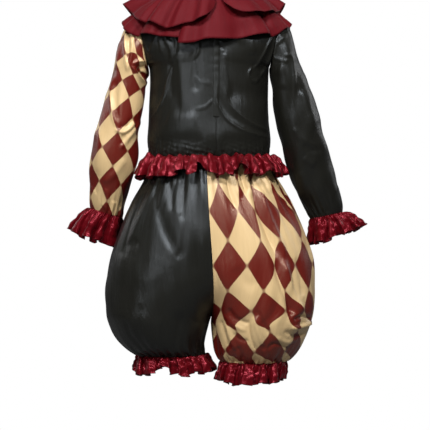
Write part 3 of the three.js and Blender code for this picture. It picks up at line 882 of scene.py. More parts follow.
TOP_CREASES = (
    Crease(((18, -196), (18, -243), (27, -264), (44, -288), (77, -309), (105, -318), (143, -324)), 2.4, 2.9),
    Crease(((30, -200), (38, -226), (51, -255), (72, -276), (96, -292), (119, -302), (145, -307)), 2.4, 2.9),
    Crease(((24, -226), (38, -262), (66, -288), (100, -305), (142, -315)), 6.5, -1.6),
    Crease(((40, -120), (36, -160), (40, -200), (50, -236)), 7, 2.4),
    Crease(((-66, -128), (-64, -170), (-60, -222), (-56, -268)), 13, 3.0, lean=0.7),
    Crease(((-96, -276), (-62, -288), (-22, -284)), 17, 3.0, lean=1.4),
    Crease(((-30, -262), (-8, -258), (10, -240)), 3, 1.1),
    Crease(((-86, -150), (-88, -190), (-84, -240)), 8, -1.9),
    Crease(((-36, -130), (-32, -180), (-30, -226)), 9, -2.0),
    Crease(((-104, -70), (-98, -100), (-86, -128), (-84, -164)), 6, 3.0),
    Crease(((-82, -84), (-74, -112), (-78, -148)), 5, 2.6),
    Crease(((-118, -76), (-112, -104), (-106, -140)), 4, 1.8),
    Crease(((-84, -158), (-96, -197), (-103, -229), (-115, -257), (-138, -288)), 2.4, 2.6),
    Crease(((-106, -205), (-118, -250), (-136, -270)), 8, -1.4),
    Crease(((-150, -112), (-136, -129), (-124, -101), (-119, -88)), 3.2, 2.2),
    Crease(((171, -70), (159, -101), (143, -136), (126, -168), (115, -190)), 2.6, 2.9),
    Crease(((150, -89), (138, -108), (126, -131), (112, -152), (99, -172)), 2.6, 2.9),
    Crease(((160, -82), (146, -114), (130, -142), (110, -178)), 6.5, -2.0),
    Crease(((117, -186), (106, -197), (94, -192), (91, -178), (99, -164)), 2.6, 2.8),
    Crease(((40, -78), (70, -94), (92, -112), (98, -140)), 13, 3.6),
    Crease(((36, -150), (84, -148), (132, -172)), 30, 2.6),
    Crease(((40, -222), (84, -226), (134, -232)), 22, -3.4),
    Crease(((22, -104), (34, -112), (48, -108), (68, -96)), 3.2, 2.6),
    Crease(((26, -118), (36, -128), (34, -138)), 4, -1.6),
    Crease(((-40, -82), (-26, -104), (-24, -130), (-36, -150)), 4, 2.2),
    Crease(((-34, -186), (-20, -201), (8, -204)), 2.6, 1.1),
    Crease(((-128, -336), (-70, -334), (-4, -336)), 17, -4.2),
    Crease(((26, -338), (80, -336), (134, -338)), 17, -3.6),
    Crease(((-80, -110), (-50, -190), (-60, -300)), 15, 6.0, Side.FRONT, lean=0.6),
    Crease(((70, -110), (82, -200), (110, -310)), 16, 6.0, Side.FRONT),
    Crease(((8, -130), (4, -220), (22, -320)), 12, 4.0, Side.FRONT),
    Crease(((-140, -190), (-70, -230), (20, -226)), 4, 3.0, Side.FRONT, lean=1.6),
    Crease(((30, -250), (90, -280), (142, -270)), 4, 3.0, Side.FRONT, lean=1.6),
    Crease(((60, -150), (100, -176), (140, -160)), 4, 3.0, Side.FRONT),
    Crease(((-135, -300), (-60, -322), (40, -330)), 10, 3.4, Side.FRONT),
)


@dataclass
class Top:
    """The two backs, the front and the closure of the satin top."""

    shape: TopShape
    finishes: Finishes
    left_columns: int = 140
    right_columns: int = 120
    front_columns: int = 90
    closure_columns: int = 14
    levels: int = 170
    hem_pitch: float = 8.5
    closure_half: float = 7
    closure_lift: float = 1.1

    def panel(self, name: str, side: Side, stops: Sequence[Ring], columns: int) -> Cloth:
        """Shapes one panel between its edges.

        Args:
            name: the panel's name.
            side: back or front.
            stops: how far across its two edges lie, at each level.
            columns: how many columns of points it has.

        Returns:
            The cloth.
        """
        levels = np.linspace(0, self.shape.neck, self.levels)
        u, v = grid(np.linspace(0, 1, columns), levels)
        across = stops[0](v) + (stops[1](v) - stops[0](v)) * u
        points = self.shape.place(side, across, v)
        arc = self.shape.arc(side, v)
        along = arc.radius * across * arc.reach
        weave = np.stack([along, arc_lengths(points, 0)], axis=-1)
        cloth = Cloth(name, points, weave, 1 if side is Side.BACK else -1)
        x, z = points[..., 0], points[..., 2]
        heights = creased(TOP_CREASES, side, x, z)
        away = z - HEM_Z
        heights += 1.3 * gathers(along, away, self.hem_pitch, 15, 1.7 + side.value)
        heights += 1.4 * undulation(along, away, 12, 17 + side.value) * np.exp(-away / 16)
        heights += 1.2 * undulation(x, z * 0.6, 90, 11 + side.value)
        if side is Side.BACK:
            pucker = np.sin(z / 3.1) * np.exp(-((x - self.shape.closure_x) / 11) ** 2)
            heights += 0.15 * pucker * smoothstep(z, -262, -240)
        at_sides = np.clip((1 - np.abs(across)) * arc.reach * arc.radius / 9, 0, 1)
        at_hem = smoothstep(v, 0, 0.12)
        at_neck = 1 - smoothstep(v, self.shape.shoulder - 0.4, self.shape.shoulder + 0.6)
        cloth.lift(heights * (0.25 + 0.75 * at_sides) * at_hem * at_neck)
        wide = (stops[1](v) - stops[0](v)) * arc.reach * arc.radius
        cloth.lift(-seam_dip(u, wide))
        return cloth

    def build(self) -> None:
        """Makes the panels and the closure."""
        shape = self.shape
        gap = shape.seam_gap / 2
        half = self.closure_half

        def beside(offset: float) -> Ring:
            """The line at a distance from the closure's middle."""
            return lambda level: shape.across_at(shape.closure_x + offset, level)

        def left_edge(level: Array) -> Array:
            """The left side seam."""
            return -np.ones_like(level)

        left, right, front, strip = (
            self.panel(name, side, stops, columns)
            for name, side, stops, columns in (
                ("top_back_left_cloth", Side.BACK, (left_edge, beside(-gap)), self.left_columns),
                ("top_back_right_cloth", Side.BACK, (beside(gap), np.ones_like), self.right_columns),
                ("top_front_cloth", Side.FRONT, (left_edge, np.ones_like), self.front_columns),
                ("closure_strip_cloth", Side.BACK, (beside(-half), beside(half)), self.closure_columns),
            )
        )
        keep = slice(int(self.levels * 3.0 / shape.neck), int(self.levels * 0.985))
        strip = Cloth(strip.name, strip.points[keep], strip.weave[keep], 1)
        ends = np.linspace(-1, 1, self.closure_columns)[None, :] * np.ones((strip.points.shape[0], 1))
        ripple = np.sin(strip.points[..., 2] / 5.3) + 0.6 * np.sin(strip.points[..., 2] / 2.7 + 1)
        sewn = np.minimum(1, np.arange(strip.points.shape[0]) / 12)[:, None]
        raised = (self.closure_lift * (1 - ends**4) + 0.08 * ripple * (1 - ends**2)) * sewn
        strip.lift(0.12 + raised + SEAM_DIP * np.exp(-(1 - np.abs(ends)) * half / SEAM_REACH))
        black = self.finishes.black
        finish_piece(left, black, ["top_back_left"], "black_satin", Cut(0.24, 0.42, 0.080))
        finish_piece(right, black, ["top_back_right"], "black_satin", Cut(0.20, 0.42, 0.067))
        finish_piece(front, black, ["top_front"], "black_satin", Cut(0.44, 0.42, 0.145))
        finish_piece(strip, self.finishes.tape, ["closure_strip"], "black_satin", Cut(0.015, 0.29))


# Ovals and tubes


@dataclass(frozen=True)
class Oval:
    """A section of a tube: its outer and inner edge, half its depth and how far forward it lies."""

    out_x: float
    out_z: float
    in_x: float
    in_z: float
    deep: float
    forward: float

    def ring(self, turn: Array) -> Array:
        """Points round the oval, from its outer edge by way of its back."""
        middle = np.array([(self.out_x + self.in_x) / 2, self.forward, (self.out_z + self.in_z) / 2])
        out = np.array([self.out_x, self.forward, self.out_z]) - middle
        angle = TURN * turn[..., None]
        return middle + out * np.cos(angle) - np.array([0, self.deep, 0]) * np.sin(angle)


def tube(rings: Sequence[Array], t: Array) -> Array:
    """Points of the tube that runs smoothly through rings of points.

    Args:
        rings: for each ring, the points at each place round it, one row each.
        t: places along the tube, counted in rings, one row each.

    Returns:
        The points.
    """
    return smooth_curve(np.stack(rings), t)


@dataclass(frozen=True)
class PrintRow:
    """How the print lies at a place on the cloth.

    Args:
        place: the height or the place along the tube.
        down: the half-lozenge that falls there.
        start: the half-lozenge at the edge that the print is counted from.
        unit: the width of a half-lozenge there.
    """

    place: float
    down: float
    start: float = 0
    unit: float = 1


def print_rows(rows: Sequence[PrintRow], place: Array) -> SimpleNamespace:
    """How the print lies at places on the cloth, along a smooth curve through the rows."""
    ordered = sorted(rows, key=lambda row: row.place)
    t = np.interp(place, [row.place for row in ordered], np.arange(len(ordered)))
    return sample(ordered, t)


LEFT_SLEEVE = (
    Oval(-201, -76, -142, -176, 57, 0),
    Oval(-215, -126, -149, -191, 53, 0),
    Oval(-234, -206, -150, -234, 47, 2),
    Oval(-257, -281, -165, -307, 48, 6),
    Oval(-277, -356, -168, -374, 51, 18),
    Oval(-281, -421, -188, -438, 46, 34),
    Oval(-284, -466, -201, -482, 41, 48),
    Oval(-283, -486, -208, -509, 37, 56),
)
RIGHT_SLEEVE = (
    Oval(192, -76, 142, -178, 57, 0),
    Oval(207, -133, 147, -206, 54, 0),
    Oval(231, -199, 149, -246, 51, 2),
    Oval(258, -278, 163, -309, 51, 6),
    Oval(281, -353, 180, -377, 52, 18),
    Oval(302, -423, 201, -440, 49, 34),
    Oval(316, -473, 224, -482, 43, 46),
    Oval(317, -496, 242, -511, 37, 52),
)
LEFT_SLEEVE_CREASES = (
    Crease(((-134, -156), (-146, -148), (-160, -147), (-180, -158)), 4.6, 5.5, lean=0.6),
    Crease(((-180, -158), (-166, -174), (-150, -194), (-146, -206)), 4.6, 5.0, lean=0.7),
    Crease(((-142, -160), (-156, -164), (-162, -170), (-150, -184)), 5, -6.0),
    Crease(((-192, -68), (-194, -100), (-191, -136), (-188, -176)), 4, 3.6),
    Crease(((-178, -84), (-176, -116), (-180, -146), (-188, -172)), 4, 4.2),
    Crease(((-185, -76), (-185, -112), (-186, -150)), 4.6, -3.6),
    Crease(((-206, -96), (-210, -130), (-212, -170)), 5, 3.0),
    Crease(((-221, -178), (-228, -215), (-227, -256), (-216, -300)), 4.6, 4.6, lean=0.7),
    Crease(((-214, -190), (-216, -240), (-210, -290)), 7, -3.6),
    Crease(((-218, -306), (-200, -312), (-184, -302), (-170, -284)), 4.6, 5.4, lean=0.7),
    Crease(((-158, -280), (-176, -308), (-192, -330), (-208, -352)), 5, 4.6, lean=0.7),
    Crease(((-205, -296), (-190, -298), (-176, -278)), 5, -3.4),
    Crease(((-200, -318), (-196, -330), (-204, -342)), 5, -3.0),
    Crease(((-262, -300), (-252, -350), (-262, -410)), 12, 3.0),
    Crease(((-196, -370), (-216, -402), (-248, -428)), 9, 3.2, lean=0.7),
    Crease(((-240, -440), (-240, -470), (-252, -500)), 5, 3.4),
    Crease(((-222, -470), (-226, -486), (-232, -506)), 4.6, 3.4),
    Crease(((-240, -200), (-224, -300), (-240, -400)), 14, 5.0, Side.FRONT),
    Crease(((-160, -190), (-190, -240), (-230, -262)), 6, 4.0, Side.FRONT, lean=0.6),
    Crease(((-175, -330), (-210, -352), (-262, -346)), 6, 4.0, Side.FRONT),
)
RIGHT_SLEEVE_CREASES = (
    Crease(((171, -136), (189, -136), (194, -154), (197, -196), (195, -262)), 3.8, 1.9, lean=0.8),
    Crease(((150, -112), (170, -96), (186, -76)), 5, 1.8),
    Crease(((146, -140), (164, -146), (184, -150)), 4, 1.6),
    Crease(((158, -160), (176, -182), (172, -214)), 13, 2.8),
    Crease(((205, -140), (206, -170), (204, -200)), 7, -1.9),
    Crease(((212, -170), (232, -230), (252, -296)), 20, 3.4),
    Crease(((214, -212), (230, -256), (246, -310)), 15, 3.0, lean=0.7),
    Crease(((218, -370), (232, -380), (248, -388)), 10, 2.5, lean=0.7),
    Crease(((196, -300), (214, -326), (250, -346)), 7, 1.8),
    Crease(((216, -340), (236, -352), (268, -350)), 7, -1.6),
    Crease(((210, -400), (222, -430), (240, -466)), 9, 1.8),
    Crease(((240, -200), (224, -300), (250, -410)), 14, 5.0, Side.FRONT),
    Crease(((160, -200), (190, -250), (240, -270)), 6, 4.0, Side.FRONT, lean=0.6),
    Crease(((190, -340), (230, -356), (276, -346)), 6, 4.0, Side.FRONT),
)
SLEEVE_PRINT = (
    PrintRow(0.0, -6.2, -0.1), PrintRow(1.0, -3.9, -0.2), PrintRow(2.0, -2.5, -0.35),
    PrintRow(3.0, -0.25, -0.3), PrintRow(4.0, 1.6, -0.05), PrintRow(5.0, 3.4),
    PrintRow(6.0, 5.05), PrintRow(7.0, 6.15), PrintRow(8.0, 6.75),
)


@dataclass
class Sleeve:
    """One gathered sleeve.

    Args:
        name: left or right.
        direction: -1 on the left and 1 on the right.
        sections: the ovals that it runs through, from the armhole down.
        creases: its folds.
        shape: the top that it is sewn to.
        columns: how many columns of points it has.
        rows: how many rows.
        print_start: where round it the print is counted from.
        print_halves: how many half-lozenges go round it.
    """

    name: str
    direction: int
    sections: tuple[Oval, ...]
    creases: tuple[Crease, ...]
    shape: TopShape
    columns: int = 128
    rows: int = 184
    print_start: float = 0.26
    print_halves: float = 11

    def armhole(self, turn: Array) -> Array:
        """The armhole's ring, from the shoulder point round the back."""
        shape = self.shape
        up = np.abs(1 - 2 * turn)
        level = shape.underarm + (shape.shoulder - shape.underarm) * up
        across = np.full_like(turn, self.direction, dtype=float)
        return both_halves(shape.place, turn, across, across, level) + np.array([0.5 * self.direction, 0, 0])

    def shaped(self) -> Cloth:
        """Shapes the sleeve with its gathers and creases."""
        turns = np.linspace(0, 1, self.columns + 1)
        along = np.linspace(0, len(self.sections), self.rows)
        rings = [self.armhole(turns)] + [section.ring(turns) for section in self.sections]
        points = tube(rings, along)
        u, t = grid(turns, along)
        down = arc_lengths(points, 0)
        length = down[-1].mean()
        around = u * SLEEVE_ROUND
        weave = np.stack([around, down], axis=-1)
        lie = print_rows(SLEEVE_PRINT, t)
        pattern = np.stack([(u - self.print_start) * self.print_halves + 1 + lie.start, lie.down], axis=-1)
        cloth = Cloth(f"sleeve_{self.name}_cloth", points, weave, self.direction, True, pattern)
        x, z = points[..., 0], points[..., 2]
        back = smoothstep(np.sin(TURN * u), -0.15, 0.15)
        heights = creased(self.creases, Side.BACK, x, z) * back
        heights += creased(self.creases, Side.FRONT, x, z) * (1 - back)
        share = down / length
        round_again = SLEEVE_ROUND * np.sin(TURN * u) / TURN
        heights += 1.5 * undulation(round_again * 2.2, down, 80, 31 + self.direction)
        cap = smoothstep(np.cos(TURN * u), -0.3, 0.6)
        heights += 2.2 * gathers(around, down, 10.3, 26, 0.8) * cap
        heights += 3.2 * gathers(around, down[-1] - down, 9.1, 26, 2.3)
        ends = smoothstep(share, 0, 0.025) * (1 - smoothstep(share, 0.975, 1))
        join = np.cos(TURN * u)
        cloth.lift(heights * ends)
        cloth.lift(-0.9 * np.exp(-down / 2.2) - 0.6 * np.exp(-((join + 1) / 0.0006)))
        return cloth


# The bloomers


@dataclass(frozen=True)
class LegRow:
    """A section of the bloomers.

    Args:
        left_z: height on the left leg.
        right_z: height on the right leg.
        left: the left leg's outer edge.
        right: the right leg's outer edge.
        seam: the middle between the legs.
        part: half the space between the legs.
        end: how far round a panel reaches, in degrees.
        back: depth behind.
        front: depth in front.
    """

    left_z: float
    right_z: float
    left: float
    right: float
    seam: float
    part: float
    end: float
    back: float
    front: float


LEG_ROWS = (
    LegRow(-350, -350, -130, 128, -5, 0, 90, 92, 94),
    LegRow(-372, -372, -132, 130, -5, 0, 90, 93, 95),
    LegRow(-400, -400, -141, 146, -4, 0, 90, 103, 105),
    LegRow(-440, -440, -160, 173, -3, 0, 90, 115, 116),
    LegRow(-490, -490, -188, 199, 0, 0, 92, 127, 127),
    LegRow(-545, -545, -210, 223, 4, 0, 97, 135, 134),
    LegRow(-605, -605, -230, 240, 8, 0, 108, 139, 137),
    LegRow(-665, -665, -239, 246, 11, 0, 125, 140, 137),
    LegRow(-715, -715, -240, 245, 10, 0, 150, 136, 133),
    LegRow(-750, -752, -236, 238, 3, 2.5, 180, 130, 127),
    LegRow(-786, -792, -219, 222, 0, 9, 180, 116, 114),
    LegRow(-812, -823, -193, 202, 1, 14, 180, 98, 97),
    LegRow(-828, -843, -163, 180, 9, 21, 180, 76, 76),
)
LEG_PRINT = (
    PrintRow(-350, -2.2, 0, 20), PrintRow(-398, -0.55, 0, 21), PrintRow(-428, 0.0, 0, 24),
    PrintRow(-494, 1.0, 0, 33), PrintRow(-560, 2.0, 0, 38), PrintRow(-617, 3.0, 0, 39),
    PrintRow(-674, 4.0, 0.1, 41), PrintRow(-719, 5.0, -0.8, 41),
    PrintRow(-766, 6.0, -2.3, 39), PrintRow(-815, 7.0, -2.0, 38), PrintRow(-843, 7.7, -1.9, 38),
)
BLACK_LEG_CREASES = (
    Crease(((-138, -415), (-158, -470), (-180, -530), (-196, -590)), 5, 2.9, lean=0.8),
    Crease(((-122, -410), (-142, -470), (-166, -535), (-186, -600)), 9, -3.3),
    Crease(((-130, -398), (-120, -440), (-118, -486)), 8, 2.5),
    Crease(((-118, -470), (-104, -530), (-78, -580), (-60, -600)), 15, 3.5, lean=0.6),
    Crease(((-70, -480), (-66, -540), (-74, -600)), 8, -2.1, lean=1.5),
    Crease(((-94, -402), (-86, -450), (-82, -500)), 7, 2.0),
    Crease(((-60, -402), (-56, -460), (-60, -520)), 7, 1.6),
    Crease(((-30, -402), (-26, -500), (-22, -640)), 11, 1.7),
    Crease(((-196, -600), (-184, -574), (-160, -562)), 10, 3.1),
    Crease(((-96, -600), (-120, -640), (-170, -650)), 20, -1.9),
    Crease(((-104, -600), (-96, -660), (-92, -740)), 18, 1.6),
    Crease(((-150, -700), (-162, -760), (-144, -812)), 9, 2.1),
    Crease(((-60, -720), (-70, -770), (-80, -818)), 8, 2.0),
    Crease(((-110, -730), (-114, -772), (-110, -815)), 8, -1.9),
    Crease(((-186, -740), (-178, -776), (-158, -806)), 6, 2.0),
    Crease(((-40, -405), (-70, -520), (-60, -660)), 14, 6.0, Side.FRONT, lean=0.6),
    Crease(((-100, -410), (-150, -520), (-180, -640)), 16, 6.0, Side.FRONT),
    Crease(((-80, -420), (-110, -560), (-120, -700)), 10, -5.0, Side.FRONT),
    Crease(((-30, -560), (-70, -600), (-140, -590)), 5, 3.4, Side.FRONT),
    Crease(((-70, -700), (-80, -760), (-76, -815)), 11, 4.0, Side.FRONT),
    Crease(((-150, -690), (-150, -760), (-130, -812)), 12, 4.5, Side.FRONT),
)
PRINTED_LEG_CREASES = (
    Crease(((40, -385), (42, -420), (50, -458), (66, -500)), 6, 5.4, lean=0.8),
    Crease(((56, -388), (60, -424), (74, -462)), 6, -4.6),
    Crease(((66, -384), (76, -418), (88, -452)), 5.4, 5.6, lean=0.8),
    Crease(((82, -392), (88, -424), (100, -462)), 5, -5.0),
    Crease(((94, -404), (100, -448), (114, -496), (132, -540), (158, -600)), 5.4, 7.4, lean=1.4),
    Crease(((110, -430), (128, -486), (150, -540), (176, -600)), 8, -7.6, lean=0.8),
    Crease(((124, -392), (148, -424), (176, -460), (190, -500)), 7, 5.6, lean=0.8),
    Crease(((108, -388), (124, -420), (144, -452)), 6, -4.6),
    Crease(((150, -604), (162, -650), (180, -702), (196, -730)), 5.4, 7.2, lean=1.4),
    Crease(((166, -604), (180, -650), (198, -700), (214, -726)), 7.5, -7.6, lean=0.8),
    Crease(((196, -600), (208, -640), (214, -690)), 7, 4.4),
    Crease(((190, -742), (208, -734), (234, -742)), 5, 6.4),
    Crease(((184, -756), (204, -758), (240, -750)), 5, -8.6, lean=0.7),
    Crease(((170, -764), (196, -778), (226, -774)), 5.6, 4.6, lean=0.8),
    Crease(((42, -714), (62, -736), (90, -750)), 4.8, 3.9, lean=0.8),
    Crease(((36, -728), (56, -750), (84, -766)), 4.0, -3.3),
    Crease(((88, -738), (94, -778), (108, -812)), 4.0, 4.3, lean=0.7),
    Crease(((102, -730), (112, -766), (124, -800)), 4.3, -3.6),
    Crease(((108, -716), (122, -748), (140, -776)), 4.3, 3.6),
    Crease(((28, -742), (34, -770), (48, -812)), 4.0, 4.8, lean=0.7),
    Crease(((42, -748), (50, -778), (62, -812)), 4.0, -4.3),
    Crease(((58, -770), (70, -784), (92, -790)), 4.0, 3.6),
    Crease(((134, -810), (146, -794), (170, -800), (184, -812)), 4.3, 4.0, lean=0.7),
    Crease(((150, -776), (176, -792), (206, -788)), 4.8, -3.3),
    Crease(((66, -800), (72, -816), (78, -834)), 4.8, 3.3),
    Crease(((124, -806), (128, -820), (132, -836)), 4.0, -2.9),
    Crease(((60, -620), (80, -650), (110, -662)), 14, 2.4),
    Crease(((60, -405), (96, -520), (100, -660)), 14, 7.0, Side.FRONT, lean=0.6),
    Crease(((100, -410), (158, -520), (190, -650)), 10, 7.0, Side.FRONT),
    Crease(((80, -420), (120, -560), (140, -700)), 10, -6.0, Side.FRONT),
    Crease(((30, -560), (90, -600), (160, -590)), 5, 4.4, Side.FRONT),
    Crease(((60, -700), (80, -760), (90, -825)), 8, 5.0, Side.FRONT, lean=0.6),
    Crease(((150, -690), (160, -760), (150, -825)), 8, 5.0, Side.FRONT, lean=0.7),
    Crease(((100, -740), (130, -770), (180, -760)), 6, 5.0, Side.FRONT),
)


@dataclass(frozen=True)
class Tuck:
    """A deep fold that swallows cloth, so that the print jumps across it.

    Args:
        path: the points that it runs through, from the top down.
        width: half its width.
        halves: how many half-lozenges it swallows.
    """

    path: tuple[Point, ...]
    width: float
    halves: float

    def swallowed(self, x: Array, z: Array) -> Array:
        """How far the print is ahead at each point: not at all left of the fold, and wholly to its right."""
        line = np.array(self.path[::-1], float)
        middle = np.interp(z, line[:, 1], line[:, 0])
        low, high = line[0, 1], line[-1, 1]
        fading = smoothstep(z, low, low + 40) * (1 - smoothstep(z, high - 50, high))
        return self.halves * fading * (0.5 + 0.5 * np.tanh((x - middle) / self.width))


LEG_TUCK = Tuck(
    ((72, -395), (92, -494), (134, -560), (152, -617), (164, -674), (192, -718), (215, -755)), 12, 0.85
)


@dataclass
class Leg:
    """One leg of the bloomers, in a back and a front panel.

    Args:
        name: left or right.
        direction: -1 on the left and 1 on the right.
        creases: its folds.
        material: its finish.
        slot: the record's slot of the finish.
        tuck: the deep fold that swallows part of the print, if it has one.
        pull: the height of the long soft folds that run down it.
        plainer: how much coarser the front's mesh is.
        columns: how many columns of points the back has.
        rows: how many rows.
        seam_gap: the space between two panels.
        waist_pitch: the distance between the waist's finest pleats.
        knee_pitch: the same at the knee.
    """

    name: str
    direction: int
    creases: tuple[Crease, ...]
    material: bpy.types.Material
    slot: str
    tuck: Tuck | None = None
    pull: float = 0.5
    plainer: float = 0.75
    columns: int = 120
    rows: int = 150
    seam_gap: float = 0.06
    waist_pitch: float = 8.8
    knee_pitch: float = 8.2

    def place(self, side: Side, around: Array, level: Array) -> Array:
        """Points on the leg, round from the side seam (0) to the centre seam or inseam (1)."""
        row = sample(LEG_ROWS, level)
        end = np.radians(np.clip(row.end, 90, 180))
        outer = row.left if self.direction < 0 else row.right
        inner = row.seam + self.direction * (np.maximum(0, row.part) + self.seam_gap / 2)
        radius = (inner - outer) / (1 - np.cos(end))
        angle = end * around
        depth = row.back if side is Side.BACK else row.front
        x = outer + radius * (1 - np.cos(angle))
        y = side.value * (depth * np.sin(angle) + self.seam_gap / 2)
        z = row.left_z if self.direction < 0 else row.right_z
        return np.stack([x, y, z], axis=-1)

    def panel(self, part: str, side: Side) -> Cloth:
        """Shapes one panel with its gathers, creases and print.

        Args:
            part: back or front.
            side: the same, as a side.

        Returns:
            The cloth.
        """
        last = len(LEG_ROWS) - 1
        fine = 1 if side is Side.BACK else self.plainer
        columns, rows = int(self.columns * fine), int(self.rows * fine)
        u, v = grid(np.linspace(0, 1, columns), np.linspace(0, last, rows))
        points = self.place(side, u, v)
        across = arc_lengths(points, 1)
        down = arc_lengths(points, 0)
        even = u * LEG_ROUND
        weave = np.stack([even, down], axis=-1)
        x, z = points[..., 0], points[..., 2]
        lie = print_rows(LEG_PRINT, z)
        width = across[:, -1:]
        halves = lie.start + (width - across) / lie.unit
        if self.tuck is not None and side is Side.BACK:
            halves = halves + self.tuck.swallowed(x, z)
        pattern = np.stack([halves, lie.down], axis=-1)
        facing = self.direction * side.value
        cloth = Cloth(f"bloomers_{self.name}_{part}_cloth", points, weave, facing, pattern=pattern)
        heights = creased(self.creases, side, x, z)
        seed = 2 * self.direction + side.value
        heights += 1.6 * undulation(even, down, 120, 51 + seed)
        heights += self.pull * undulation(even + 0.12 * down, 0.22 * down, 44, 57 + seed)
        from_waist = np.maximum(0, WAIST_Z - z)
        heights += 3.6 * gathers(even, from_waist, self.waist_pitch * 1.5, 34, 0.6 + self.direction)
        heights += 3.6 * gathers(even, down[-1] - down, self.knee_pitch * 1.6, 26, 2.6 + self.direction)
        at_seams = np.clip(np.minimum(u, 1 - u) * width / 10, 0, 1)
        ends = smoothstep(v, 0, 0.7) * (1 - smoothstep(v, last - 0.25, last))
        cloth.lift(heights * (0.12 + 0.88 * at_seams) * ends)
        cloth.lift(-seam_dip(u, width))
        return cloth

    def build(self) -> None:
        """Makes both panels."""
        for part, side in (("back", Side.BACK), ("front", Side.FRONT)):
            cloth = self.panel(part, side)
            node = f"bloomers_{self.name}_{part}"
            finish_piece(cloth, self.material, [node], self.slot, Cut(0.39, 0.54, 0.200))


# Ruffles


@dataclass(frozen=True)
class Raised:
    """A stretch of a ruffle that is turned up: where it is, how wide, and how far it rises."""

    turn: float = 0.3
    spread: float = 0.05
    rise: float = 0


@dataclass
class Ruffle:
    """A gathered strip that hangs from a sewn ring through its ovals.

    Args:
        name: the piece's name.
        sewn: the ring that it is sewn to, at each place round it.
        ovals: the ovals that it hangs through.
        count: how many waves it has.
        reach: how far the waves stand in and out at the free edge.
        lift: how far the free edge rises and falls.
        seed: picks the pattern.
        facing: the side of the grid that is outwards.
        raised: the places that are turned up.
        puff: how far the waves' crests bulge up near the seam.
        second: how far the smaller waves stand in and out.
        ragged: how uneven the free edge's height is.
        crumple: the height of the crumples.
        rows: how many rows of points it has.
        per_wave: how many columns of points each wave has.
    """

    name: str
    sewn: Ring
    ovals: tuple[Oval, ...]
    count: int
    reach: float
    lift: float
    seed: float
    facing: int
    raised: tuple[Raised, ...] = ()
    puff: float = 4.0
    second: float = 3.5
    ragged: float = 4.0
    crumple: float = 1.7
    rows: int = 24
    per_wave: int = 32

    def shaped(self, start: float = 0.0, end: float = 1.0) -> Cloth:
        """Shapes the strip between two places round the ring.

        Args:
            start: where it starts, as a share of a turn.
            end: where it ends.

        Returns:
            The cloth.
        """
        whole = end - start > 0.999
        turns = np.linspace(start, end, int(self.count * self.per_wave * (end - start)) + 1)
        down = np.linspace(0, 1, self.rows)
        u, v = grid(turns, down)
        rings = [self.sewn(np.mod(turns, 1.0))] + [oval.ring(turns) for oval in self.ovals]
        opposite = [self.sewn(np.mod(turns + 0.5, 1.0))] + [oval.ring(turns + 0.5) for oval in self.ovals]
        t = down * len(self.ovals)
        base = tube(rings, t)
        outwards = base - (tube(opposite, t) + base) / 2
        size = np.linalg.norm(outwards, axis=2, keepdims=True)
        outwards = outwards / size
        sideways = np.gradient(base, axis=1)
        sideways = sideways / np.linalg.norm(sideways, axis=2, keepdims=True)
        seed = int(10 * self.seed)
        angle = TURN * u
        lean = v * uneven(u, self.count, seed)
        phase = self.count * angle + drift(angle, self.seed) + lean
        strength = 1.12 + 0.3 * uneven(u, 2 * self.count, seed + 1)
        big = np.cos(phase) * strength * swell(angle, self.seed)
        small_phase = (2 * self.count + 1) * angle + 2.2 * uneven(u, self.count, seed + 2) + 1.5 * lean
        small = np.cos(small_phase) * (0.75 + 0.5 * uneven(u, 2 * self.count, seed + 3))
        pucker = np.cos(2.5 * small_phase + 2.5 * uneven(u, 2 * self.count, seed + 4))
        out = self.reach * v**0.6 * big + self.second * v**0.45 * small + 1.5 * (1 - v) ** 2 * pucker
        pitch = TURN * size[..., 0] / self.count
        curl = 0.17 * pitch * v * np.sin(2 * phase) + 0.05 * pitch * v * np.sin(2 * small_phase)
        curl += 0.14 * pitch * v**1.5 * uneven(u, self.count, seed + 5)
        points = base + outwards * out[..., None] + sideways * curl[..., None]
        rise = self.lift * v**2 * waves(self.count, self.seed + 1, u)
        rise += self.ragged * v**1.5 * uneven(u, 2 * self.count, seed + 6)
        rise += self.puff * np.sin(math.pi * np.minimum(1, v / 0.5)) * np.maximum(0, 0.6 * big + 0.5 * small)
        for turned in self.raised:
            rise += turned.rise * v**1.4 * np.exp(-(((u - turned.turn) / turned.spread) ** 2))
        points[..., 2] += rise
        lengths = arc_lengths(points, 0)
        along = arc_lengths(points, 1)[self.rows // 2][None, :] * np.ones((self.rows, 1))
        cloth = hemmed_cloth(self.name, points, along, lengths, self.facing, whole)
        crumples = undulation(along, lengths, 27, seed + 7) + 0.5 * undulation(along, lengths, 15, seed + 8)
        closing = np.clip(np.minimum(u - start, end - u) * 400, 0, 1) if whole else 1
        cloth.lift(self.crumple * crumples * smoothstep(v, 0, 0.3) * closing)
        return cloth


WAIST_RAISED = (
    Raised(0.165, 0.012, 6), Raised(0.193, 0.012, 13), Raised(0.228, 0.012, 31), Raised(0.317, 0.011, 24),
    Raised(0.398, 0.02, 16), Raised(0.6, 0.02, 14), Raised(0.72, 0.013, 24), Raised(0.86, 0.015, 18),
)
WAIST_OVALS = (
    Oval(-148, -374, 152, -373, 112, 1),
    Oval(-160, -391, 167, -389, 126, 1),
    Oval(-165, -415, 173, -412, 134, 1),
)
LEFT_CUFF_OVALS = (
    Oval(-303, -503, -210, -534, 49, 63),
    Oval(-319, -522, -214, -558, 57, 70),
    Oval(-329, -541, -216, -582, 61, 77),
)
RIGHT_CUFF_OVALS = (
    Oval(338, -507, 242, -532, 49, 56),
    Oval(354, -519, 242, -553, 57, 60),
    Oval(364, -532, 243, -574, 62, 64),
)
LEFT_KNEE_OVALS = (
    Oval(-166, -838, -6, -834, 82, 0),
    Oval(-169, -853, 2, -849, 88, 0),
    Oval(-169, -870, 5, -866, 90, 0),
)
RIGHT_KNEE_OVALS = (
    Oval(179, -853, 26, -853, 82, 0),
    Oval(177, -869, 23, -869, 87, 0),
    Oval(173, -888, 20, -888, 88, 0),
)


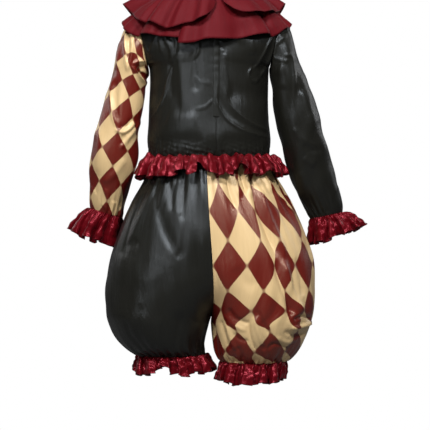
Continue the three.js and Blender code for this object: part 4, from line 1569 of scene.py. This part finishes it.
@dataclass
class Ruffles:
    """All five ruffles."""

    shape: TopShape
    legs: tuple[Leg, Leg]
    finishes: Finishes

    def waist_ring(self, turn: Array) -> Array:
        """The top's hem, from its left side seam round the back."""
        return self.shape.ring(turn, 0, 1.5)

    def knee_ring(self, leg: Leg) -> Ring:
        """The knee hem of a leg, from its outer side round the back."""

        def ring(turn: Array) -> Array:
            """Points round the hem."""
            level = np.full_like(turn, len(LEG_ROWS) - 1.03, dtype=float)
            return both_halves(leg.place, turn, turn * 2, 2 - turn * 2, level)

        return ring

    def build(self) -> None:
        """Makes every ruffle."""
        waist = Ruffle("waist", self.waist_ring, WAIST_OVALS, count=28, reach=10, lift=3.5, seed=0.4,
                       facing=-1, raised=WAIST_RAISED, puff=9.0, second=4.0, ragged=5, per_wave=26)
        for part, start in (("back", 0.0), ("front", 0.5)):
            cloth = waist.shaped(start + 0.0003, start + 0.4997)
            cloth.name = f"waist_ruffle_{part}_cloth"
            self.finish(cloth, f"waist_ruffle_{part}", Cut(0.95, 0.06))
        cuffs = (
            ("left", LEFT_SLEEVE[-1].ring, LEFT_CUFF_OVALS, 10, 8, 4, 1.3, -1, Cut(0.75, 0.08)),
            ("right", RIGHT_SLEEVE[-1].ring, RIGHT_CUFF_OVALS, 11, 8, 4, 2.1, 1, Cut(0.75, 0.065)),
        )
        for name, *strip, cut in cuffs:
            ruffle = Ruffle(f"cuff_ruffle_{name}_cloth", *strip, second=4.2)
            self.finish(ruffle.shaped(), f"cuff_ruffle_{name}", cut)
        knees = (
            ("left", LEFT_KNEE_OVALS, 0.9, -1, (Raised(0.21, 0.04, 22),)),
            ("right", RIGHT_KNEE_OVALS, 3.2, 1, ()),
        )
        for leg, (name, ovals, *others) in zip(self.legs, knees):
            ring = self.knee_ring(leg)
            ruffle = Ruffle(f"knee_ruffle_{name}_cloth", ring, ovals, 14, 8.5, 4, *others, second=4.2)
            self.finish(ruffle.shaped(), f"knee_ruffle_{name}", Cut(1.10, 0.05))

    def finish(self, cloth: Cloth, node: str, cut: Cut) -> None:
        """Dresses one ruffle."""
        material = self.finishes.ruffle
        finish_piece(cloth, material, [node], "burgundy_satin", cut, RUFFLE_SHELL)


# The collar


@dataclass(frozen=True)
class TierRow:
    """A section of a tier: half its width, its depths, and its heights at the sides, back and front."""

    half: float
    back: float
    front: float
    side_z: float
    back_z: float
    front_z: float


@dataclass(frozen=True)
class Tier:
    """One tier of the collar.

    Args:
        name: the solid's name.
        middle_x: how far across the free edge's middle lies.
        opens_at: where it opens, in degrees from the middle of the back.
        gap_degrees: half the opening, below zero where the ends overlap.
        overlap: how far the upper end stands off the lower.
        longer: how much longer the upper end is.
        tilt: how far one side of the back hangs lower.
        fall: how soon the level falls from the sides to the middle.
        count: how many waves it has.
        reach: how far the waves stand in and out.
        lift: how far the free edge rises and falls.
        seed: picks the pattern.
        corner: how far the ends' corners are rounded.
        corner_degrees: how far round a corner goes.
        sections: its form, from the neck out.
        cut: its flat cut.
        valley: the depth below which the valleys get flatter.
        held_off: how far it is kept off the seam of the left sleeve.
        columns: how many columns of points it has.
        rows: how many rows.
    """

    name: str
    middle_x: float
    opens_at: float
    gap_degrees: float
    overlap: float
    longer: float
    tilt: float
    fall: float
    count: int
    reach: float
    lift: float
    seed: float
    corner: float
    corner_degrees: float
    sections: tuple[TierRow, ...]
    cut: Cut
    valley: float = 3.2
    held_off: float = 7.0
    columns: int = 350
    rows: int = 34

    def shaped(self) -> Cloth:
        """Shapes the tier with its flares and fine gathers."""
        u, v = grid(np.linspace(0, 1, self.columns), np.linspace(0, 1, self.rows))
        turn = np.radians(self.opens_at + self.gap_degrees + (360 - 2 * self.gap_degrees) * u)
        from_end = np.minimum(u, 1 - u) * 360
        rounding = 1 - np.clip(from_end / self.corner_degrees, 0, 1)
        on_top = np.clip(1 - 8 * u, 0, 1)
        length = 1 + self.longer * on_top - self.corner * (1 - np.sqrt(1 - rounding**2 * 0.98))
        row = sample(self.sections, v * length * (len(self.sections) - 2))
        cos, sin = np.cos(turn), np.sin(turn)
        behind = cos > 0
        depth = np.where(behind, row.back, row.front)
        from_side = np.hypot(cos, 0.12) - 0.12
        low = np.where(behind, row.back_z, row.front_z)
        level = row.side_z + (low - row.side_z) * (1 - (1 - from_side) ** self.fall)
        tilted = self.tilt * v * v * np.maximum(0, cos) * np.sin(2 * turn)
        share = turn / TURN
        out = self.reach * v * waves(self.count, self.seed, share) + self.overlap * on_top
        lift = self.lift * v * waves(self.count, self.seed + 1, share) + self.overlap * on_top / 2
        x = self.middle_x * v + (row.half + out) * sin
        points = np.stack([x, -(depth + out) * cos, level + lift + tilted], axis=-1)
        lengths = arc_lengths(points, 0)
        along = share * COLLAR_ROUND
        cloth = hemmed_cloth(f"{self.name}_cloth", points, along, lengths, 1)
        soft = 52 + 14 * np.sin(along / 83 + self.seed)
        phase = TURN * along / 55 + 1.5 * np.sin(along / 39 + self.seed) + 0.8 * v * np.sin(along / 61)
        heights = 5.2 * v**0.6 * np.cos(phase) + 1.8 * v * np.cos(1.9 * phase + 1.0)
        heights += 2.2 * np.exp(-lengths / soft) * np.cos(2.6 * phase + 1.4 * np.sin(along / 21))
        heights += 1.8 * undulation(along, lengths, 70, 71 + int(self.seed * 10))
        flatter = -self.valley + 0.3 * (heights + self.valley)
        heights = np.where(heights < -self.valley, flatter, heights)
        ends = np.clip(from_end / 3, 0, 1)
        cloth.lift(heights * smoothstep(v, 0, 0.12) * (0.3 + 0.7 * ends))
        x, y, z = cloth.points[..., 0], cloth.points[..., 1], cloth.points[..., 2]
        over_seam = np.exp(-(((x - 140) / 17) ** 2) - ((z + 62) / 32) ** 2) * smoothstep(-y, 5, 25)
        cloth.points[..., 1] = y - self.held_off * over_seam
        return cloth


UPPER_TIER = Tier(
    name="collar_upper", middle_x=-12, opens_at=16, gap_degrees=1.2, overlap=0, longer=0, tilt=16, fall=1.1,
    count=8, reach=6, lift=5, seed=0.6, corner=0.62, corner_degrees=25,
    sections=(
        TierRow(57.5, 58.5, 67.5, 50, 50, 24),
        TierRow(90, 84, 96, 35, 27, 7),
        TierRow(122, 105, 118, 17, -5, -18),
        TierRow(153, 120, 134, 0, -38, -45),
        TierRow(182, 129, 144, -18, -73, -76),
        TierRow(209, 136, 152, -37, -109, -108),
    ),
    cut=Cut(1.20, 0.16, 0.111),
)
LOWER_TIER = Tier(
    name="collar_lower", middle_x=-8, opens_at=-15, gap_degrees=-2.5, overlap=3, longer=0.12, tilt=0,
    fall=2.4, count=10, reach=5, lift=3, seed=2.2, corner=0.05, corner_degrees=8,
    sections=(
        TierRow(58.2, 59, 67.9, 41, 41, 16),
        TierRow(96, 80, 91, 17, 12, -10),
        TierRow(136, 97, 108, -9, -26, -43),
        TierRow(172, 109, 120, -31, -61, -76),
        TierRow(199, 117, 128, -51, -98, -107),
        TierRow(223, 124, 135, -70, -135, -138),
    ),
    cut=Cut(1.20, 0.18, 0.130),
)


@dataclass
class Collar:
    """The neck band and the two tiers that it carries."""

    shape: TopShape
    finishes: Finishes
    half: float = 56
    back: float = 57
    front: float = 66
    side_z: float = 56
    back_z: float = 56
    front_z: float = 30
    foot_gap: float = 0.8
    band_columns: int = 200
    band_rows: int = 16

    def band(self) -> Cloth:
        """Shapes the neck band."""
        shape = self.shape
        turns = np.linspace(0.001, 0.999, self.band_columns)
        closure = shape.across_at(shape.closure_x, np.array([float(shape.neck)]))
        start = 0.25 * (1 + float(closure[0]))
        foot = shape.ring(np.mod(start + turns, 1), shape.neck, self.foot_gap)
        lean = np.arctan2(foot[:, 0], -foot[:, 1])
        cos = np.cos(lean)
        depth = np.where(cos > 0, self.back, self.front)
        top_z = self.side_z + (np.where(cos > 0, self.back_z, self.front_z) - self.side_z) * cos**2
        top = np.stack([self.half * np.sin(lean), -depth * cos, top_z], axis=-1)
        up = np.linspace(0, 1, self.band_rows)
        points = foot[None] + (top - foot)[None] * up[:, None, None]
        u, v = grid(turns, up)
        lengths = arc_lengths(points, 0)
        along = u * BAND_ROUND
        cloth = hemmed_cloth("neck_band_cloth", points, along, lengths, 1)
        ripple = 0.7 * np.sin(along / 9 + 2 * v) * np.sin(math.pi * v)
        cloth.lift(ripple + 0.5 * undulation(along, lengths, 40, 81))
        return cloth

    def build(self) -> None:
        """Makes the band and the tiers."""
        satin, crepe = self.finishes.ruffle, self.finishes.collar
        finish_piece(self.band(), satin, ["neck_band"], "burgundy_satin", Cut(0.40, 0.06), BAND_SHELL)
        for tier in (UPPER_TIER, LOWER_TIER):
            cloth = tier.shaped()
            finish_piece(cloth, crepe, [tier.name], "burgundy_crepe", tier.cut, COLLAR_SHELL)


# The studio


@dataclass
class Studio:
    """Floor, lights and camera, in metres.

    Args:
        distance: from the camera to the costume.
        centre_x: where the camera is, across.
        centre_z: how high it is.
        frame_width: how much it sees across.
        floor_z: the floor's height.
        room_light: the strength of the light from all round.
        aim: where the lights point.
    """

    distance: float = 3.4
    centre_x: float = 0.014
    centre_z: float = -0.503
    frame_width: float = 1.006
    floor_z: float = -1.26
    room_light: float = 0.1
    aim: Spot = (0.0, 0.0, -0.45)

    def floor(self) -> None:
        """A floor that is white to the camera and dim to the cloth."""
        bpy.ops.mesh.primitive_plane_add(size=16, location=(0, 0, self.floor_z))
        floor = bpy.context.object
        floor.name = "floor"
        material = bpy.data.materials.new("Pale floor")
        material.use_nodes = True
        w = Wiring(material.node_tree)
        shader = w.tree.nodes["Principled BSDF"]
        shader.inputs["Base Color"].default_value = (0.16, 0.16, 0.16, 1)
        shader.inputs["Roughness"].default_value = 0.9
        shown = w.node("ShaderNodeEmission", {"Color": WHITE})
        w.feed(w.tree.nodes["Material Output"].inputs["Surface"], w.seen(shader, shown))
        floor.data.materials.append(material)

    def surroundings(self) -> bpy.types.World:
        """A dim room that looks white to the camera."""
        world = bpy.data.worlds.new("studio")
        world.use_nodes = True
        w = Wiring(world.node_tree)
        shown = w.node("ShaderNodeBackground", {"Color": WHITE})
        room = w.tree.nodes["Background"]
        room.inputs["Color"].default_value = WHITE
        room.inputs["Strength"].default_value = self.room_light
        w.feed(w.tree.nodes["World Output"].inputs["Surface"], w.seen(room, shown))
        return world

    def light(self, name: str, place: Spot, wide: float, tall: float, power: float) -> None:
        """Adds a soft box that faces the costume.

        Args:
            name: its name.
            place: where it is.
            wide: its width.
            tall: its height.
            power: its power in watts.
        """
        data = bpy.data.lights.new(name, "AREA")
        data.shape = "RECTANGLE"
        data.size = wide
        data.size_y = tall
        data.energy = power
        lamp = bpy.data.objects.new(name, data)
        lamp.location = place
        lamp.rotation_euler = look_along(np.array(self.aim) - np.array(place))
        bpy.context.scene.collection.objects.link(lamp)

    def build(self) -> None:
        """Makes the studio."""
        self.floor()
        for lamp in (
            ("key", (-0.75, -2.33, 1.46), 0.8, 0.5, 104),
            ("left", (-1.55, -2.6, 0.0), 0.3, 0.9, 17),
            ("right", (1.25, -2.2, 1.35), 0.35, 0.35, 62),
            ("top", (0.0, -1.0, 2.3), 1.4, 1.0, 22),
            ("back_left", (-2.4, 1.4, 0.8), 1.0, 1.6, 15),
            ("back_right", (2.4, 1.4, 0.8), 1.0, 1.6, 15),
        ):
            self.light(*lamp)
        scene = bpy.context.scene
        scene.world = self.surroundings()
        scene.view_settings.view_transform = "Standard"
        data = bpy.data.cameras.new("view")
        data.sensor_fit = "HORIZONTAL"
        data.angle = 2 * math.atan(self.frame_width / 2 / self.distance)
        camera = bpy.data.objects.new("view", data)
        camera.location = (self.centre_x, -self.distance, self.centre_z)
        camera.rotation_euler = (math.pi / 2, 0, 0)
        scene.collection.objects.link(camera)
        scene.camera = camera


def look_along(direction: Array) -> Spot:
    """The turn that points a light's or camera's -Z along a direction."""
    x, y, z = direction / np.linalg.norm(direction)
    return (math.acos(-z), 0.0, math.atan2(y, x) - math.pi / 2)


def main() -> None:
    """Builds the costume piece by piece."""
    logging.basicConfig(level=logging.INFO, format="%(name)s: %(message)s")
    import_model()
    finishes = make_finishes()
    shape = TopShape()
    Studio().build()
    Top(shape, finishes).build()
    cut = Cut(0.38, 0.48, 0.136)
    for name, direction, sections, creases, material, slot in (
        ("left", -1, LEFT_SLEEVE, LEFT_SLEEVE_CREASES, finishes.harlequin, "harlequin_satin"),
        ("right", 1, RIGHT_SLEEVE, RIGHT_SLEEVE_CREASES, finishes.black, "black_satin"),
    ):
        sleeve = Sleeve(name, direction, sections, creases, shape)
        finish_piece(sleeve.shaped(), material, [f"sleeve_{name}"], slot, cut)
    left = Leg("left", -1, BLACK_LEG_CREASES, finishes.black, "black_satin")
    right = Leg("right", 1, PRINTED_LEG_CREASES, finishes.harlequin, "harlequin_satin", tuck=LEG_TUCK,
                pull=2.2)
    left.build()
    right.build()
    Ruffles(shape, (left, right), finishes).build()
    Collar(shape, finishes).build()


if __name__ == "__main__":
    main()
